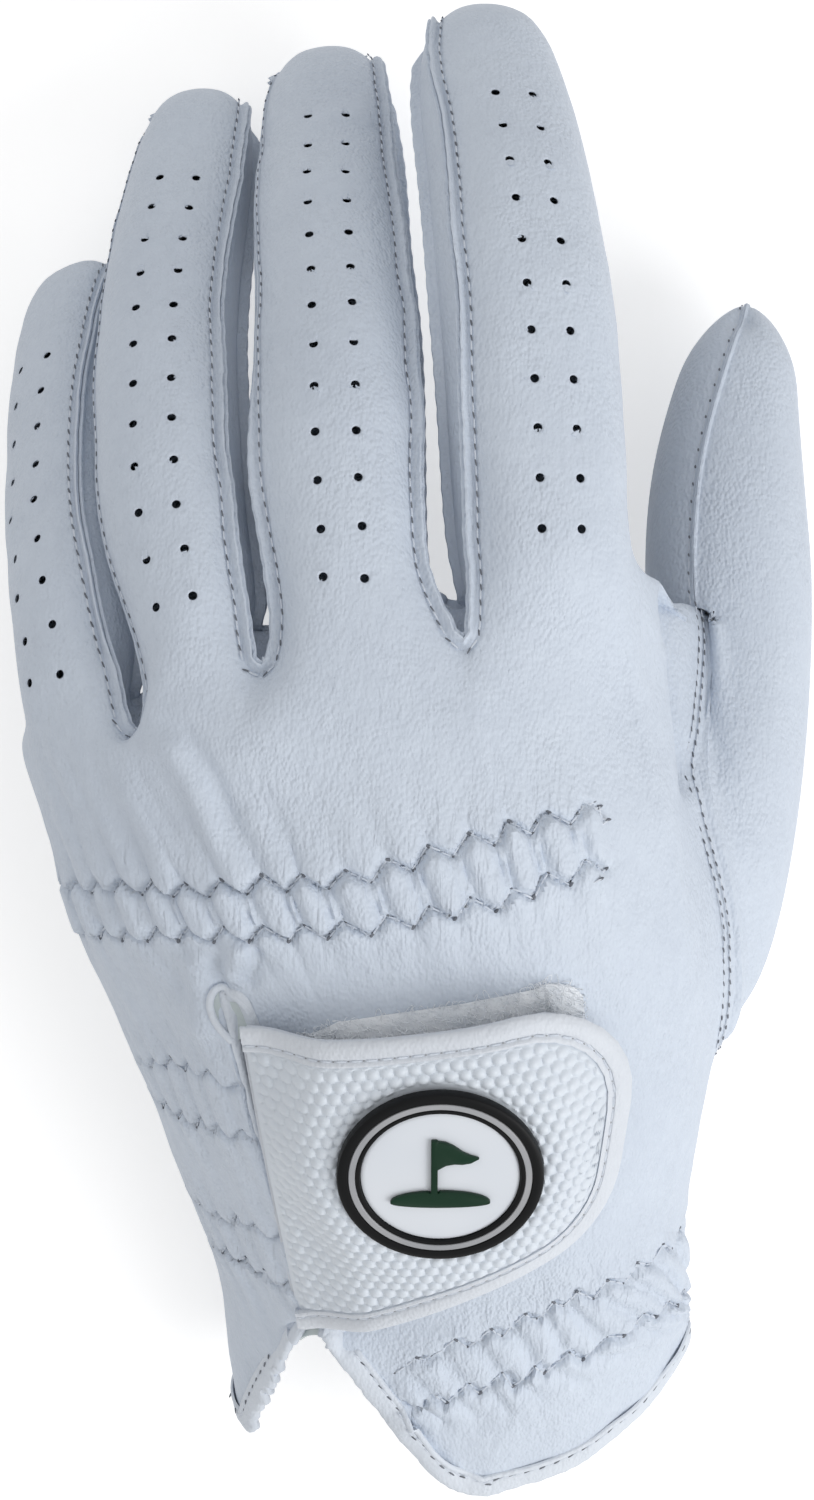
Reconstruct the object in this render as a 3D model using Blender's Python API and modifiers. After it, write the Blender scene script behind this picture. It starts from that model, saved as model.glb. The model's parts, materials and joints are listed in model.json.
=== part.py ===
"""Golf glove for the left hand, lying palm down and shaped as if worn.

The leather panels, the elastics under them, the bindings, the wrist tab and its badge are
separate closed solids.  All of the panels are cut from one surface, so each seam fits: the hand
is lofted from rings, four finger tubes leave its front row and the thumb leaves a hole in its side.

Frame: +X towards the thumb, +Y towards the fingertips, +Z up, standing on z = 0.
"""
import math

import bpy
import numpy as np
from mathutils import Matrix, Vector
from mathutils.bvhtree import BVHTree

MM = 0.001

# ---------------------------------------------------------------- driving dimensions
LEATHER = 0.8 * MM               # thickness of every leather panel
FIT = 0.3 * MM                   # clearance between pieces that touch
SEAM_GAP = 0.45 * MM             # clearance between two panels at their seam
SLIT_WIDTH = 3.0 * MM            # width of the wrist opening in the back panel
BINDING_RADIUS = 0.5 * MM        # rolled edge round the slit
HEM_RADIUS = 0.7 * MM            # rolled edge round the cuff
ELASTIC_THICKNESS = 0.7 * MM
CROTCH_WIDTH = 3.0 * MM          # between two fingers, at the root
LOOP_THICKNESS = 1.0 * MM        # soft half of the touch fastener
HOOK_THICKNESS = 1.0 * MM        # hooked half of the touch fastener
TAB_LINING = 0.7 * MM
TAB_COVER = 1.3 * MM
TAB_LENGTH = 52.3 * MM           # along the upper edge, from the sewn edge to the free end
TAB_TAPER = 8.8 * MM             # how much shorter the lower edge is
TAB_SEWN_WIDTH = 50.3 * MM       # along the sewn edge
TAB_FREE_WIDTH = 33.8 * MM       # along the free end
TAB_BORDER = 2.6 * MM            # leather border round the moulded face
TAB_CORNER = 13.7 * MM           # upper round corner of the free end
TAB_LOWER_CORNER = 16.4 * MM
TAB_SEWN_CORNER = 0.9 * MM
TAB_GAP = 0.45 * MM              # between the lining and what is sewn on it
TAB_EASE = 0.3 * MM              # slack under the tab
TAB_SEAM = 2.0 * MM              # sewn margin of the tab, flat on the flap
TAB_RISE = 9.0 * MM              # over which the tab climbs onto the fastener
HOOK_START = 24.0 * MM           # from the sewn edge to the hook patch
HOOK_MARGIN = 4.0 * MM           # from the tab's edges to the hook patch
HOOK_CORNER = 2.5 * MM
BADGE_DIAMETER = 25.4 * MM
BADGE_HEIGHT = 2.4 * MM
BADGE_RIM = 1.3 * MM             # black outer ring
BADGE_SILVER = 0.6 * MM          # bright ring inside the rim
BADGE_INNER_RIM = 0.5 * MM       # black ring inside the bright one
BADGE_DISC = 0.7 * MM            # thickness of the disc
BADGE_RECESS = 0.6 * MM          # depth of the disc below the rim
BADGE_FLAT = 10.0 * MM           # over which the tab comes flat round the badge
BADGE_SEAT = 0.6 * MM            # width of the flat just outside the badge
EMBLEM_WIDTH = 12.4 * MM
EMBLEM_HEIGHT = 0.6 * MM

# ---------------------------------------------------------------- the hand, ring by ring
# Each ring: left edge (x, y, z), right edge (x, y, z), crest height, palm height, in mm.
HAND_RINGS = (
    ((-50.8, -1.0, 43.0), (34.6, 8.0, 48.5), 70.0, 46.5),
    ((-47.8, -9.0, 43.0), (35.4, 0.0, 48.0), 70.0, 44.0),
    ((-45.4, -17.0, 41.5), (36.8, -9.0, 47.0), 69.6, 41.5),
    ((-43.2, -25.0, 38.0), (38.7, -19.0, 44.5), 68.0, 38.5),
    ((-41.0, -31.5, 35.0), (40.0, -29.0, 41.0), 66.0, 34.5),
    ((-36.8, -42.0, 30.5), (40.2, -40.0, 35.0), 62.0, 28.5),
    ((-32.8, -54.0, 25.5), (39.5, -54.0, 28.5), 55.3, 20.0),
    ((-28.9, -65.0, 21.0), (38.3, -66.0, 24.5), 48.0, 13.0),
    ((-26.3, -74.0, 17.5), (39.0, -76.0, 22.0), 41.0, 7.0),
)
# Edge of the cuff, in mm: from the slit over the thumb side, under the palm, to the slit again.
LOBE_HEM = ((-11.0, -78.5, 39.0), (-4.0, -88.6, 34.0), (4.0, -98.8, 28.6), (9.0, -102.0, 27.0),
            (18.0, -100.4, 26.0), (27.0, -96.0, 24.5), (36.0, -88.0, 22.0), (38.6, -83.5, 20.5))
SIDE_HEM = ((39.2, -82.0, 17.0), (38.2, -81.0, 12.5))
PALM_HEM = ((35.0, -80.5, 8.0), (22.0, -79.5, 3.2), (6.0, -79.5, 1.8), (-9.0, -81.5, 2.0),
            (-20.5, -87.0, 5.0))
LEFT_HEM = ((-24.2, -92.6, 9.0),)
FLAP_HEM = ((-22.6, -96.4, 12.5), (-20.4, -91.6, 19.0), (-15.8, -79.6, 34.0))
# Where the fingers part on the back: x, y, z of each root, and the drop to the root on the palm.
ROOTS = ((-34.3, 2.6, 59.0), (-18.1, 11.2, 64.6), (6.8, 14.4, 65.4))
ROOT_DROP = (-0.5, 4.0, -10.5)
# The hole for the thumb, in mm: upper edge, from the web to the wrist, and lower edge.
THUMB_UPPER = ((39.5, 10.0, 34.0), (38.6, 1.5, 38.5), (38.6, -8.0, 42.0), (40.6, -19.0, 41.5),
               (42.4, -30.0, 38.0), (41.4, -39.5, 34.0))
THUMB_LOWER = ((32.5, 8.0, 25.0), (35.5, -1.0, 20.0), (37.5, -10.0, 17.5), (38.5, -19.0, 16.5),
               (38.8, -29.0, 17.0), (38.0, -38.0, 19.5))
WEB_MIDDLE = (35.8, 11.0, 29.5)

# ---------------------------------------------------------------- fingers and thumb
# Each station: crest (x, y, z), half width, half height, roll in degrees; all else in mm.
FINGERS = {
    "little": (((-47.2, 12.5, 53.6), 8.2, 7.6, -30), ((-49.8, 24.0, 48.0), 8.6, 8.0, -42),
               ((-51.3, 35.0, 40.4), 8.6, 7.8, -45), ((-51.7, 46.0, 33.0), 8.4, 7.5, -45),
               ((-51.0, 57.0, 25.2), 8.0, 7.2, -42), ((-48.6, 67.4, 16.4), 6.8, 6.2, -38)),
    "ring": (((-29.0, 17.5, 64.6), 8.1, 8.5, -8), ((-31.8, 31.0, 60.0), 9.2, 8.8, -10),
             ((-33.0, 45.0, 53.2), 9.4, 8.6, -10), ((-33.4, 58.0, 44.6), 9.3, 8.3, -10),
             ((-32.6, 71.0, 34.2), 9.1, 8.1, -10), ((-30.8, 83.5, 23.4), 8.6, 7.8, -8),
             ((-29.0, 93.3, 13.6), 7.0, 6.6, -6)),
    "middle": (((-7.8, 23.0, 67.6), 9.8, 9.2, 0), ((-8.9, 37.0, 64.0), 10.5, 9.2, 0),
               ((-9.3, 51.0, 58.2), 10.6, 9.0, 0), ((-10.0, 64.0, 49.4), 10.3, 8.8, 0),
               ((-10.8, 76.5, 38.8), 9.9, 8.5, 0), ((-11.0, 89.0, 26.6), 9.3, 8.2, 0),
               ((-11.1, 99.0, 16.0), 7.6, 7.0, 0)),
    "index": (((19.4, 27.0, 66.0), 10.8, 9.6, 12), ((18.9, 42.0, 63.6), 11.2, 9.3, 15),
              ((18.0, 57.0, 60.2), 11.3, 9.0, 16), ((16.6, 71.0, 54.0), 11.1, 8.8, 17),
              ((14.8, 84.0, 45.4), 10.6, 8.4, 17), ((13.0, 93.7, 37.8), 10.0, 8.0, 17),
              ((11.2, 101.4, 30.4), 8.2, 7.0, 16)),
}
FINGER_REACH = 6.4               # mm from the last station's centre to the seam over the tip
ROOT_TURN = {"little": 4, "ring": 18, "middle": 7, "index": 0}    # degrees, first station only
# The thumb: centre (x, y, z), half width, half height, of sections square to its length.
THUMB = (((44.9, 19.0, 20.6), 11.4, 12.4), ((44.8, 31.0, 18.8), 11.2, 11.6),
         ((45.3, 41.0, 16.8), 10.2, 10.3), ((46.4, 49.5, 14.8), 8.8, 8.9),
         ((47.6, 56.5, 13.0), 6.6, 6.9))
THUMB_REACH = 5.0                # mm from the last section to the seam over the tip
THUMB_TURN = -38                 # degrees, where the first seam sits round the thumb
THENAR_BULGE = (15.0, 4.0, -3.0)

# Bands that follow the back.  Columns run from the outer side to the thumb side, and each edge
# is given by its ring number at the first and at the last column.
ELASTICS = {
    "knuckle_elastic": ((1, 17), (2.15, 2.1), (2.85, 2.8)),
    "outer_wrist_elastic_upper": ((0, 4), (5.1, 5.1), (5.6, 5.7)),
    "outer_wrist_elastic_lower": ((0, 4), (7.0, 7.0), (7.6, 7.6)),
    "thumb_side_elastic_upper": ((9, 20), (8.45, 7.35), (8.85, 7.85)),
    "thumb_side_elastic_lower": ((9, 20), (9.1, 8.1), (9.45, 8.6)),
}
LOOP_BAND = ((7.6, 16.7), (4.5, 4.0), (7.5, 6.2))
TAB_ROOT = (-21.2, -34.9)        # x and y of the upper end of the sewn edge, in mm
TAB_TILT = 25.3                  # degrees that the tab leans down towards the wrist
TAB_TURN = 7.5                   # degrees that it is turned round
BADGE_PLACE = (23.0 * MM, 18.2 * MM)     # along and down the tab, from the root of the sewn edge
BADGE_TURN = 7.5                 # degrees that the badge is turned back, so the emblem is upright
FOURCHETTES = ("little_ring_fourchette", "ring_middle_fourchette", "middle_index_fourchette")
PANELS = ("back_panel", "palm_panel", "thumb_outer_panel", "thumb_inner_panel",
          "thumb_quirk") + FOURCHETTES
TAB_PIECES = ("hook_patch", "tab_lining", "tab_cover", "tab_border", "badge_body", "badge_bright_ring",
              "badge_disc", "badge_emblem")

# Colour, roughness and metallic value of each finish.
FINISHES = {
    "leather": ((0.80, 0.82, 0.85), 0.45, 0.0),
    "moulded": ((0.84, 0.85, 0.83), 0.5, 0.0),
    "lining": ((0.78, 0.79, 0.80), 0.8, 0.0),
    "elastic": ((0.75, 0.76, 0.78), 0.85, 0.0),
    "fastener": ((0.82, 0.82, 0.79), 0.9, 0.0),
    "badge black": ((0.02, 0.021, 0.025), 0.4, 0.0),
    "badge silver": ((0.62, 0.62, 0.63), 0.3, 1.0),
    "badge white": ((0.80, 0.82, 0.84), 0.4, 0.0),
    "badge green": ((0.008, 0.045, 0.018), 0.35, 0.0),
}

# ---------------------------------------------------------------- how finely it is divided
TAB_STEP = 3.5 * MM              # longest straight step round the tab's border
SAMPLES = 16                     # places along and down the tab where the back is measured
ACROSS = 4                       # faces across the back of one finger
ROUND = 0.86                     # 1 is an ellipse, less is fuller
SEAM_ANGLE = 68.0                # degrees from the crest to the seam beside a finger
APEX_RING = 4                    # ring where the wrist slit starts
SLIT_LEAN = 0.034                # how far the slit leans over below its first ring, as a share
HOLE_END = 5                     # ring where the thumb hole ends
FINGER_SHARES = ((0.0, 0.226, 0.248, 0.396, 0.414, 0.630, 0.650, 1.0),
                 (0.0, 0.252, 0.276, 0.414, 0.430, 0.644, 0.660, 1.0))


def mm(values):
    return np.array(values, float) * MM


def unit(vector):
    return vector / max(np.linalg.norm(vector), 1e-12)


def power(value):
    return math.copysign(abs(value) ** ROUND, value)


def through(points, share):
    """A point on a smooth curve through the given ones, at a share of its length."""
    points = np.array(points, float)
    steps = np.linalg.norm(np.diff(points, axis=0), axis=1)
    at = np.concatenate([[0.0], np.cumsum(steps)])
    target = share * at[-1]
    i = int(min(max(np.searchsorted(at, target) - 1, 0), len(points) - 2))
    t = (target - at[i]) / steps[i]
    before = points[i - 1] if i > 0 else 2 * points[i] - points[i + 1]
    after = points[i + 2] if i + 2 < len(points) else 2 * points[i + 1] - points[i]
    a, b = points[i], points[i + 1]
    return 0.5 * (2 * a + (b - before) * t + (2 * before - 5 * a + 4 * b - after) * t ** 2
                  + (3 * a - before - 3 * b + after) * t ** 3)


class Surface:
    """Points and tagged faces of the whole glove, before it is cut into panels."""

    def __init__(self):
        self.points = []
        self.faces = []
        self.tags = []

    def add(self, point):
        self.points.append(np.array(point, float))
        return len(self.points) - 1

    def face(self, tag, *corners):
        self.faces.append(corners)
        self.tags.append(tag)

    def normals(self):
        points = np.array(self.points)
        total = np.zeros_like(points)
        for corners in self.faces:
            loop = points[list(corners)]
            area = sum(np.cross(loop[i] - loop[0], loop[i + 1] - loop[0]) for i in range(1, len(loop) - 1))
            for corner in corners:
                total[corner] += area
        return total / np.maximum(np.linalg.norm(total, axis=1, keepdims=True), 1e-15)


# ---------------------------------------------------------------- rings of the hand
COLUMNS = 4 * (ACROSS + 1)       # points across the back


def column_shares(ring):
    """Places of the columns across the back, 0 at the little finger's side and 1 at the thumb's."""
    blend = min(max(ring, 0) / APEX_RING, 1.0)
    ends = [(1 - blend) * a + blend * b for a, b in zip(*FINGER_SHARES)]
    lean = SLIT_LEAN * min(max(ring - APEX_RING, 0), 1)
    ends[1] += lean
    ends[2] += lean
    shares = []
    for finger in range(4):
        low, high = ends[2 * finger], ends[2 * finger + 1]
        shares += [low + (high - low) * j / ACROSS for j in range(ACROSS + 1)]
    return shares


def hand_point(ring, angle):
    left, right, crest, palm = HAND_RINGS[ring]
    left, right = mm(left), mm(right)
    middle = 0.5 * (crest + palm) * MM
    height = 0.5 * (crest - palm) * MM
    across = power(math.sin(angle))
    x = 0.5 * (left[0] + right[0]) + 0.5 * (right[0] - left[0]) * across
    y = 0.5 * (left[1] + right[1]) + 0.5 * (right[1] - left[1]) * across
    side = left if across < 0 else right
    z = middle - (middle - side[2]) * abs(across) ** 2.4 + height * power(math.cos(angle))
    return np.array([x, y, z])


def slit_sides(points):
    """Set the two columns beside the wrist slit apart by its width."""
    a, b = points[ACROSS], points[ACROSS + 1]
    centre, along = 0.5 * (a + b), unit(b - a)
    points[ACROSS] = centre - along * SLIT_WIDTH / 2
    points[ACROSS + 1] = centre + along * SLIT_WIDTH / 2


def hand_ring(ring):
    """Back, thumb side, palm and outer side of one ring, as lists of points."""
    limit = math.radians(72)
    shares = column_shares(ring)
    back = [hand_point(ring, (2 * s - 1) * limit) for s in shares]
    palm = [hand_point(ring, math.pi - (2 * s - 1) * limit) for s in shares]
    side = [hand_point(ring, math.radians(84)), hand_point(ring, math.radians(97))]
    outer = [hand_point(ring, math.radians(-90))]
    if ring >= APEX_RING:
        slit_sides(back)
    if ring <= HOLE_END:
        side[0] = mm(THUMB_UPPER[ring])
        side[1] = mm(WEB_MIDDLE) if ring == 0 else 0.5 * (mm(THUMB_UPPER[ring]) + mm(THUMB_LOWER[ring]))
        lower = mm(THUMB_LOWER[ring])
        reach = 9
        move = lower - palm[-1]
        for step in range(reach):
            weight = 0.5 + 0.5 * math.cos(math.pi * step / reach)
            palm[-1 - step] = palm[-1 - step] + weight * move
    return {"back": back, "side": side, "palm": palm, "outer": outer}


def hem_ring():
    last = column_shares(len(HAND_RINGS))
    lobe = [s for s in last[ACROSS + 1:]]
    flap = last[:ACROSS + 1]
    back = [through(mm(FLAP_HEM), (s - flap[0]) / (flap[-1] - flap[0])) for s in flap]
    back += [through(mm(LOBE_HEM), (s - lobe[0]) / (lobe[-1] - lobe[0])) for s in lobe]
    palm = [through(mm(PALM_HEM), 1 - s) for s in last]
    return {"back": back, "side": [mm(p) for p in SIDE_HEM], "palm": palm,
            "outer": [mm(p) for p in LEFT_HEM]}


def halfway(one, other, share):
    return {part: [(1 - share) * a + share * b for a, b in zip(one[part], other[part])] for part in one}


# ---------------------------------------------------------------- rings of the fingers
def section(centre, across, up, half_width, half_height, angle):
    return (centre + across * half_width * power(math.sin(angle))
            + up * half_height * power(math.cos(angle)))


def finger_frames(name):
    """Centre, sideways, up and forward direction, half width and half height of each station."""
    stations = FINGERS[name]
    crests = [mm(s[0]) for s in stations]
    frames = []
    for i, (_, width, height, roll) in enumerate(stations):
        ahead = unit(crests[min(i + 1, len(crests) - 1)] - crests[max(i - 1, 0)])
        across = unit(np.cross(ahead, [0, 0, 1]))
        up = np.cross(across, ahead)
        turn = Matrix.Rotation(math.radians(roll), 3, Vector(ahead))
        if i == 0:
            turn = Matrix.Rotation(math.radians(ROOT_TURN[name]), 3, "Z") @ turn
        across, up = (np.array(turn @ Vector(v)) for v in (across, up))
        frames.append((crests[i] - up * height * MM, across, up, ahead, width * MM, height * MM))
    return frames


def finger_ring(frame, side_angles):
    centre, across, up, _, width, height = frame
    seam = math.radians(SEAM_ANGLE)
    angles = [seam * (2 * j / ACROSS - 1) for j in range(ACROSS + 1)]
    place = [section(centre, across, up, width, height, a) for a in angles]
    under = [section(centre, across, up, width, height, math.pi - a) for a in angles]
    side = [section(centre, across, up, width, height, math.radians(a)) for a in side_angles]
    outer = [section(centre, across, up, width, height, math.radians(-90))]
    return {"back": place, "side": side, "palm": under, "outer": outer}


def finger_tip(frame):
    centre, across, up, ahead, width, height = frame
    seam = math.radians(SEAM_ANGLE)
    angles = [seam * (2 * j / ACROSS - 1) for j in range(ACROSS + 1)]
    return [centre + ahead * FINGER_REACH * MM * math.cos(a) + across * width * 0.8 * math.sin(a)
            - up * height * 0.12 for a in angles]


# ---------------------------------------------------------------- the whole surface
def ring_order(ring):
    return ring["back"] + ring["side"] + ring["palm"][::-1] + ring["outer"]


def add_hand(surface):
    """The hand from the finger roots to the hem.  Returns point numbers, ring by ring."""
    rings = [hand_ring(i) for i in range(len(HAND_RINGS))]
    hem = hem_ring()
    rings += [halfway(rings[-1], hem, 0.5), hem]
    numbers = [{part: [surface.add(p) for p in ring[part]] for part in ring} for ring in rings]
    for i in range(len(rings) - 1):
        join_rings(surface, numbers[i], numbers[i + 1], i)
    return numbers


def join_rings(surface, front, rear, index):
    """Faces between two rings of the hand; front is nearer the fingertips."""
    loops = [ring_order(front), ring_order(rear)]
    count = len(loops[0])
    for i in range(count):
        j = (i + 1) % count
        if COLUMNS + 2 <= i < 2 * COLUMNS + 1:
            tag = "palm_panel"
        else:
            tag = "back_panel"
        if i == ACROSS and index >= APEX_RING:
            tag = "slit"
        if i in (COLUMNS, COLUMNS + 1) and 0 <= index < HOLE_END:
            continue
        surface.face(tag, loops[0][i], loops[1][i], loops[1][j], loops[0][j])


def add_roots(surface, hand, fingers):
    """The slanting row through the finger roots, between the hand and the finger tubes."""
    def between(part, column, finger, place):
        rear, front = surface.points[hand[0][part][column]], fingers[finger][0][part][place]
        beyond, ahead = surface.points[hand[1][part][column]], fingers[finger][1][part][place]
        return surface.add((9 * rear + 9 * front - beyond - ahead) / 16)

    rows = {"back": [], "palm": []}
    for part in rows:
        for finger in range(4):
            for j in range(ACROSS + 1):
                root = finger - 1 if j == 0 else finger
                if (j == 0 and finger > 0) or (j == ACROSS and finger < 3):
                    point = mm(ROOTS[root]) + (mm(ROOT_DROP) if part == "palm" else 0)
                    point[0] += CROTCH_WIDTH / 2 * (1 if j == 0 else -1)
                    rows[part].append(surface.add(point))
                else:
                    rows[part].append(between(part, finger * (ACROSS + 1) + j, finger, j))
    side = [between("side", k, 3, k) for k in range(2)]
    outer = [between("outer", 0, 0, 0)]
    middles = []
    for root in range(3):
        low = mm(ROOTS[root]) + 0.5 * mm(ROOT_DROP)
        offset = np.array([CROTCH_WIDTH / 2, -0.6 * MM, 0])
        middles.append([surface.add(low - offset * [1, -1, 0]), surface.add(low + offset)])
    row = {"back": rows["back"], "side": side, "palm": rows["palm"], "outer": outer}
    join_rings(surface, row, hand[0], -1)
    for root in range(3):
        left, right = (root + 1) * (ACROSS + 1) - 1, (root + 1) * (ACROSS + 1)
        a, b = middles[root]
        tag = FOURCHETTES[root]
        surface.face(tag, row["back"][left], row["back"][right], b, a)
        surface.face(tag, a, b, row["palm"][right], row["palm"][left])
    return row, middles


def add_finger(surface, finger, rings, tip, row, middles):
    """One finger tube on its part of the root row, closed by a seam over the tip."""
    first = finger * (ACROSS + 1)
    part = slice(first, first + ACROSS + 1)
    loop = {"back": row["back"][part], "palm": row["palm"][part],
            "side": row["side"] if finger == 3 else [middles[finger][0]],
            "outer": row["outer"] if finger == 0 else [middles[finger - 1][1]]}
    side_tag = "back_panel" if finger == 3 else FOURCHETTES[finger]
    outer_tag = "back_panel" if finger == 0 else FOURCHETTES[finger - 1]
    sides = len(loop["side"])
    tags = (["back_panel"] * ACROSS + [side_tag] * (sides + 1)
            + ["palm_panel"] * ACROSS + [outer_tag] * 2)
    loops = [ring_order(loop)]
    for ring in rings:
        loops.append([surface.add(p) for p in ring_order(ring)])
    for low, high in zip(loops, loops[1:]):
        for i, tag in enumerate(tags):
            j = (i + 1) % len(tags)
            surface.face(tag, low[i], low[j], high[j], high[i])
    ends = [surface.add(p) for p in tip]
    last = loops[-1]
    under = ACROSS + 1 + sides
    for j in range(ACROSS):
        surface.face("back_panel", last[j], last[j + 1], ends[j + 1], ends[j])
        surface.face("palm_panel", last[under + ACROSS - j - 1], last[under + ACROSS - j],
                     ends[j], ends[j + 1])
    for i in range(ACROSS, under):
        surface.face(side_tag, last[i], last[i + 1], ends[-1])
    for i in (under + ACROSS, under + ACROSS + 1):
        surface.face(outer_tag, last[i], last[(i + 1) % len(last)], ends[0])


def thumb_rings(hole):
    """Sections of the thumb, then two rings that swell from the hole into the first section."""
    count = len(hole)
    sections = []
    centres = [mm(s[0]) for s in THUMB]
    for i, (centre, width, height) in enumerate(THUMB):
        ahead = unit(centres[min(i + 1, len(THUMB) - 1)] - centres[max(i - 1, 0)])
        across = unit(np.cross(ahead, [0, 0, 1]))
        up = np.cross(across, ahead)
        turn = math.radians(THUMB_TURN)
        angles = [turn + 2 * math.pi * k / count for k in range(count)]
        sections.append([section(centres[i], across, up, width * MM, height * MM, a) for a in angles])
    ahead = unit(centres[1] - centres[0])
    swell = []
    for share in (0.3, 0.64):
        ring = []
        for k in range(count):
            start, end = hole[k], sections[0][k]
            span = np.linalg.norm(end - start)
            leave = mm(THENAR_BULGE) * (1.6 if 2 <= k <= 8 else 0.8)
            arrive = ahead * span * 0.9
            t = share
            ring.append((2 * t ** 3 - 3 * t ** 2 + 1) * start + (t ** 3 - 2 * t ** 2 + t) * leave
                        + (-2 * t ** 3 + 3 * t ** 2) * end + (t ** 3 - t ** 2) * arrive)
        swell.append(ring)
    tip = []
    centre, width, height = centres[-1], THUMB[-1][1] * MM, THUMB[-1][2] * MM
    ahead = unit(centres[-1] - centres[-2])
    across = unit(np.cross(ahead, [0, 0, 1]))
    up = np.cross(across, ahead)
    start = math.radians(THUMB_TURN)
    seam = unit(across * math.sin(start) + up * math.cos(start))
    half = count // 2
    for k in range(half + 1):
        angle = math.pi * k / half
        tip.append(centre + ahead * THUMB_REACH * MM * math.sin(angle) ** 0.7
                   + seam * 0.5 * (width + height) * 0.72 * math.cos(angle) + ahead * 1.5 * MM)
    return swell + sections, tip


def add_thumb(surface, hand):
    upper = [hand[i]["side"][0] for i in range(HOLE_END + 1)]
    lower = [hand[i]["palm"][-1] for i in range(HOLE_END + 1)]
    hole = upper + [hand[HOLE_END]["side"][1]] + lower[::-1] + [hand[0]["side"][1]]
    rings, tip = thumb_rings([surface.points[n] for n in hole])
    count, half = len(hole), len(hole) // 2
    loops = [hole] + [[surface.add(p) for p in ring] for ring in rings]
    for level, (low, high) in enumerate(zip(loops, loops[1:])):
        for i in range(count):
            j = (i + 1) % count
            tag = "thumb_outer_panel" if i < half else "thumb_inner_panel"
            if level == 0 and i >= count - 2:
                tag = "thumb_quirk"
            surface.face(tag, low[i], low[j], high[j], high[i])
    ends = [surface.add(p) for p in tip]
    last = loops[-1]
    for i in range(half):
        surface.face("thumb_outer_panel", last[i], last[i + 1], ends[i + 1], ends[i])
        surface.face("thumb_inner_panel", last[half + i], last[(half + i + 1) % count],
                     ends[half - i - 1], ends[half - i])


def build_surface():
    surface = Surface()
    hand = add_hand(surface)
    fingers, tips = [], []
    for name in FINGERS:
        frames = finger_frames(name)
        side_angles = (84, 98) if name == "index" else (90,)
        fingers.append([finger_ring(f, side_angles) for f in frames])
        tips.append(finger_tip(frames[-1]))
    row, middles = add_roots(surface, hand, fingers)
    for k in range(4):
        add_finger(surface, k, fingers[k], tips[k], row, middles)
    add_thumb(surface, hand)
    return surface, hand


# ---------------------------------------------------------------- solids
def paint(name, finish):
    """A piece's own material, named after the piece."""
    colour, roughness, metallic = FINISHES[finish]
    material = bpy.data.materials.new(name)
    material.use_nodes = True
    shader = material.node_tree.nodes["Principled BSDF"]
    shader.inputs["Base Color"].default_value = (*colour, 1)
    shader.inputs["Roughness"].default_value = roughness
    shader.inputs["Metallic"].default_value = metallic
    material.diffuse_color = (*colour, 1)
    return material


def add_object(name, data, finish):
    data.materials.append(paint(name, finish))
    item = bpy.data.objects.new(name, data)
    COLLECTION.objects.link(item)
    return item


def thicken(name, outer, inner, faces, finish):
    """A closed solid between an outer and an inner copy of the same faces."""
    count = len(outer)
    edges = {}
    for face in faces:
        for a, b in zip(face, face[1:] + face[:1]):
            edges[(a, b)] = True
    rim = [(b, a, a + count, b + count) for a, b in edges if (b, a) not in edges]
    solid = [tuple(f) for f in faces] + [tuple(i + count for i in reversed(f)) for f in faces] + rim
    mesh = bpy.data.meshes.new(name)
    mesh.from_pydata([tuple(p) for p in list(outer) + list(inner)], [], solid)
    return add_object(name, mesh, finish)


def cut_panel(surface, normals, name):
    """One leather panel: its faces, drawn back from each seam and given their thickness."""
    faces = [f for f, tag in zip(surface.faces, surface.tags) if tag == name]
    used = sorted({i for f in faces for i in f})
    number = {old: new for new, old in enumerate(used)}
    faces = [tuple(number[i] for i in f) for f in faces]
    points = np.array([surface.points[i] for i in used])
    facing = normals[used]
    pulls = np.zeros_like(points)
    edges = {(a, b) for f in faces for a, b in zip(f, f[1:] + f[:1])}
    for face in faces:
        middle = points[list(face)].mean(axis=0)
        for a, b in zip(face, face[1:] + face[:1]):
            if (b, a) in edges:
                continue
            along = unit(points[b] - points[a])
            inward = middle - points[a]
            inward = unit(inward - along * inward.dot(along))
            pulls[a] += inward
            pulls[b] += inward
    for i, pull in enumerate(pulls):
        length = np.linalg.norm(pull)
        if length > 1e-9:
            points[i] += pull / length * SEAM_GAP / 2
    return thicken(name, points, points - facing * LEATHER, faces, "leather")


def back_point(surface, normals, hand, place, column):
    """Point and normal on the back at a fractional ring and column number."""
    ring, side = int(min(math.floor(place), len(hand) - 2)), int(min(math.floor(column), 20))
    down, across = place - ring, column - side
    point, facing = np.zeros(3), np.zeros(3)
    for line, share in ((hand[ring], 1 - down), (hand[ring + 1], down)):
        row = line["outer"][-1:] + line["back"] + line["side"][:1]
        for index, part in ((row[side], 1 - across), (row[side + 1], across)):
            point += share * part * surface.points[index]
            facing += share * part * normals[index]
    return point, unit(facing)


def add_strip(surface, normals, hand, name, band, depth, finish, rows=4):
    """A band that follows the back, below the leather or on top of it."""
    columns, front, rear = band
    outer, inner = [], []
    wide = math.ceil(columns[1] - columns[0]) + 1
    for row in range(rows + 1):
        for step in range(wide):
            along = step / (wide - 1)
            start = front[0] + (front[1] - front[0]) * along
            end = rear[0] + (rear[1] - rear[0]) * along
            place = start + (end - start) * row / rows
            column = columns[0] + along * (columns[1] - columns[0])
            point, facing = back_point(surface, normals, hand, place, column)
            outer.append(point - facing * depth[0])
            inner.append(point - facing * depth[1])
    faces = []
    for row in range(rows):
        for step in range(wide - 1):
            a = row * wide + step
            faces.append((a, a + wide, a + wide + 1, a + 1))
    return thicken(name, outer, inner, faces, finish)


def add_curve(name, path, finish):
    """A curve object through the given points."""
    curve = bpy.data.curves.new(name, "CURVE")
    spline = curve.splines.new("POLY")
    spline.points.add(len(path) - 1)
    for point, place in zip(spline.points, path):
        point.co = (*place, 1)
    return add_object(name, curve, finish)


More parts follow.
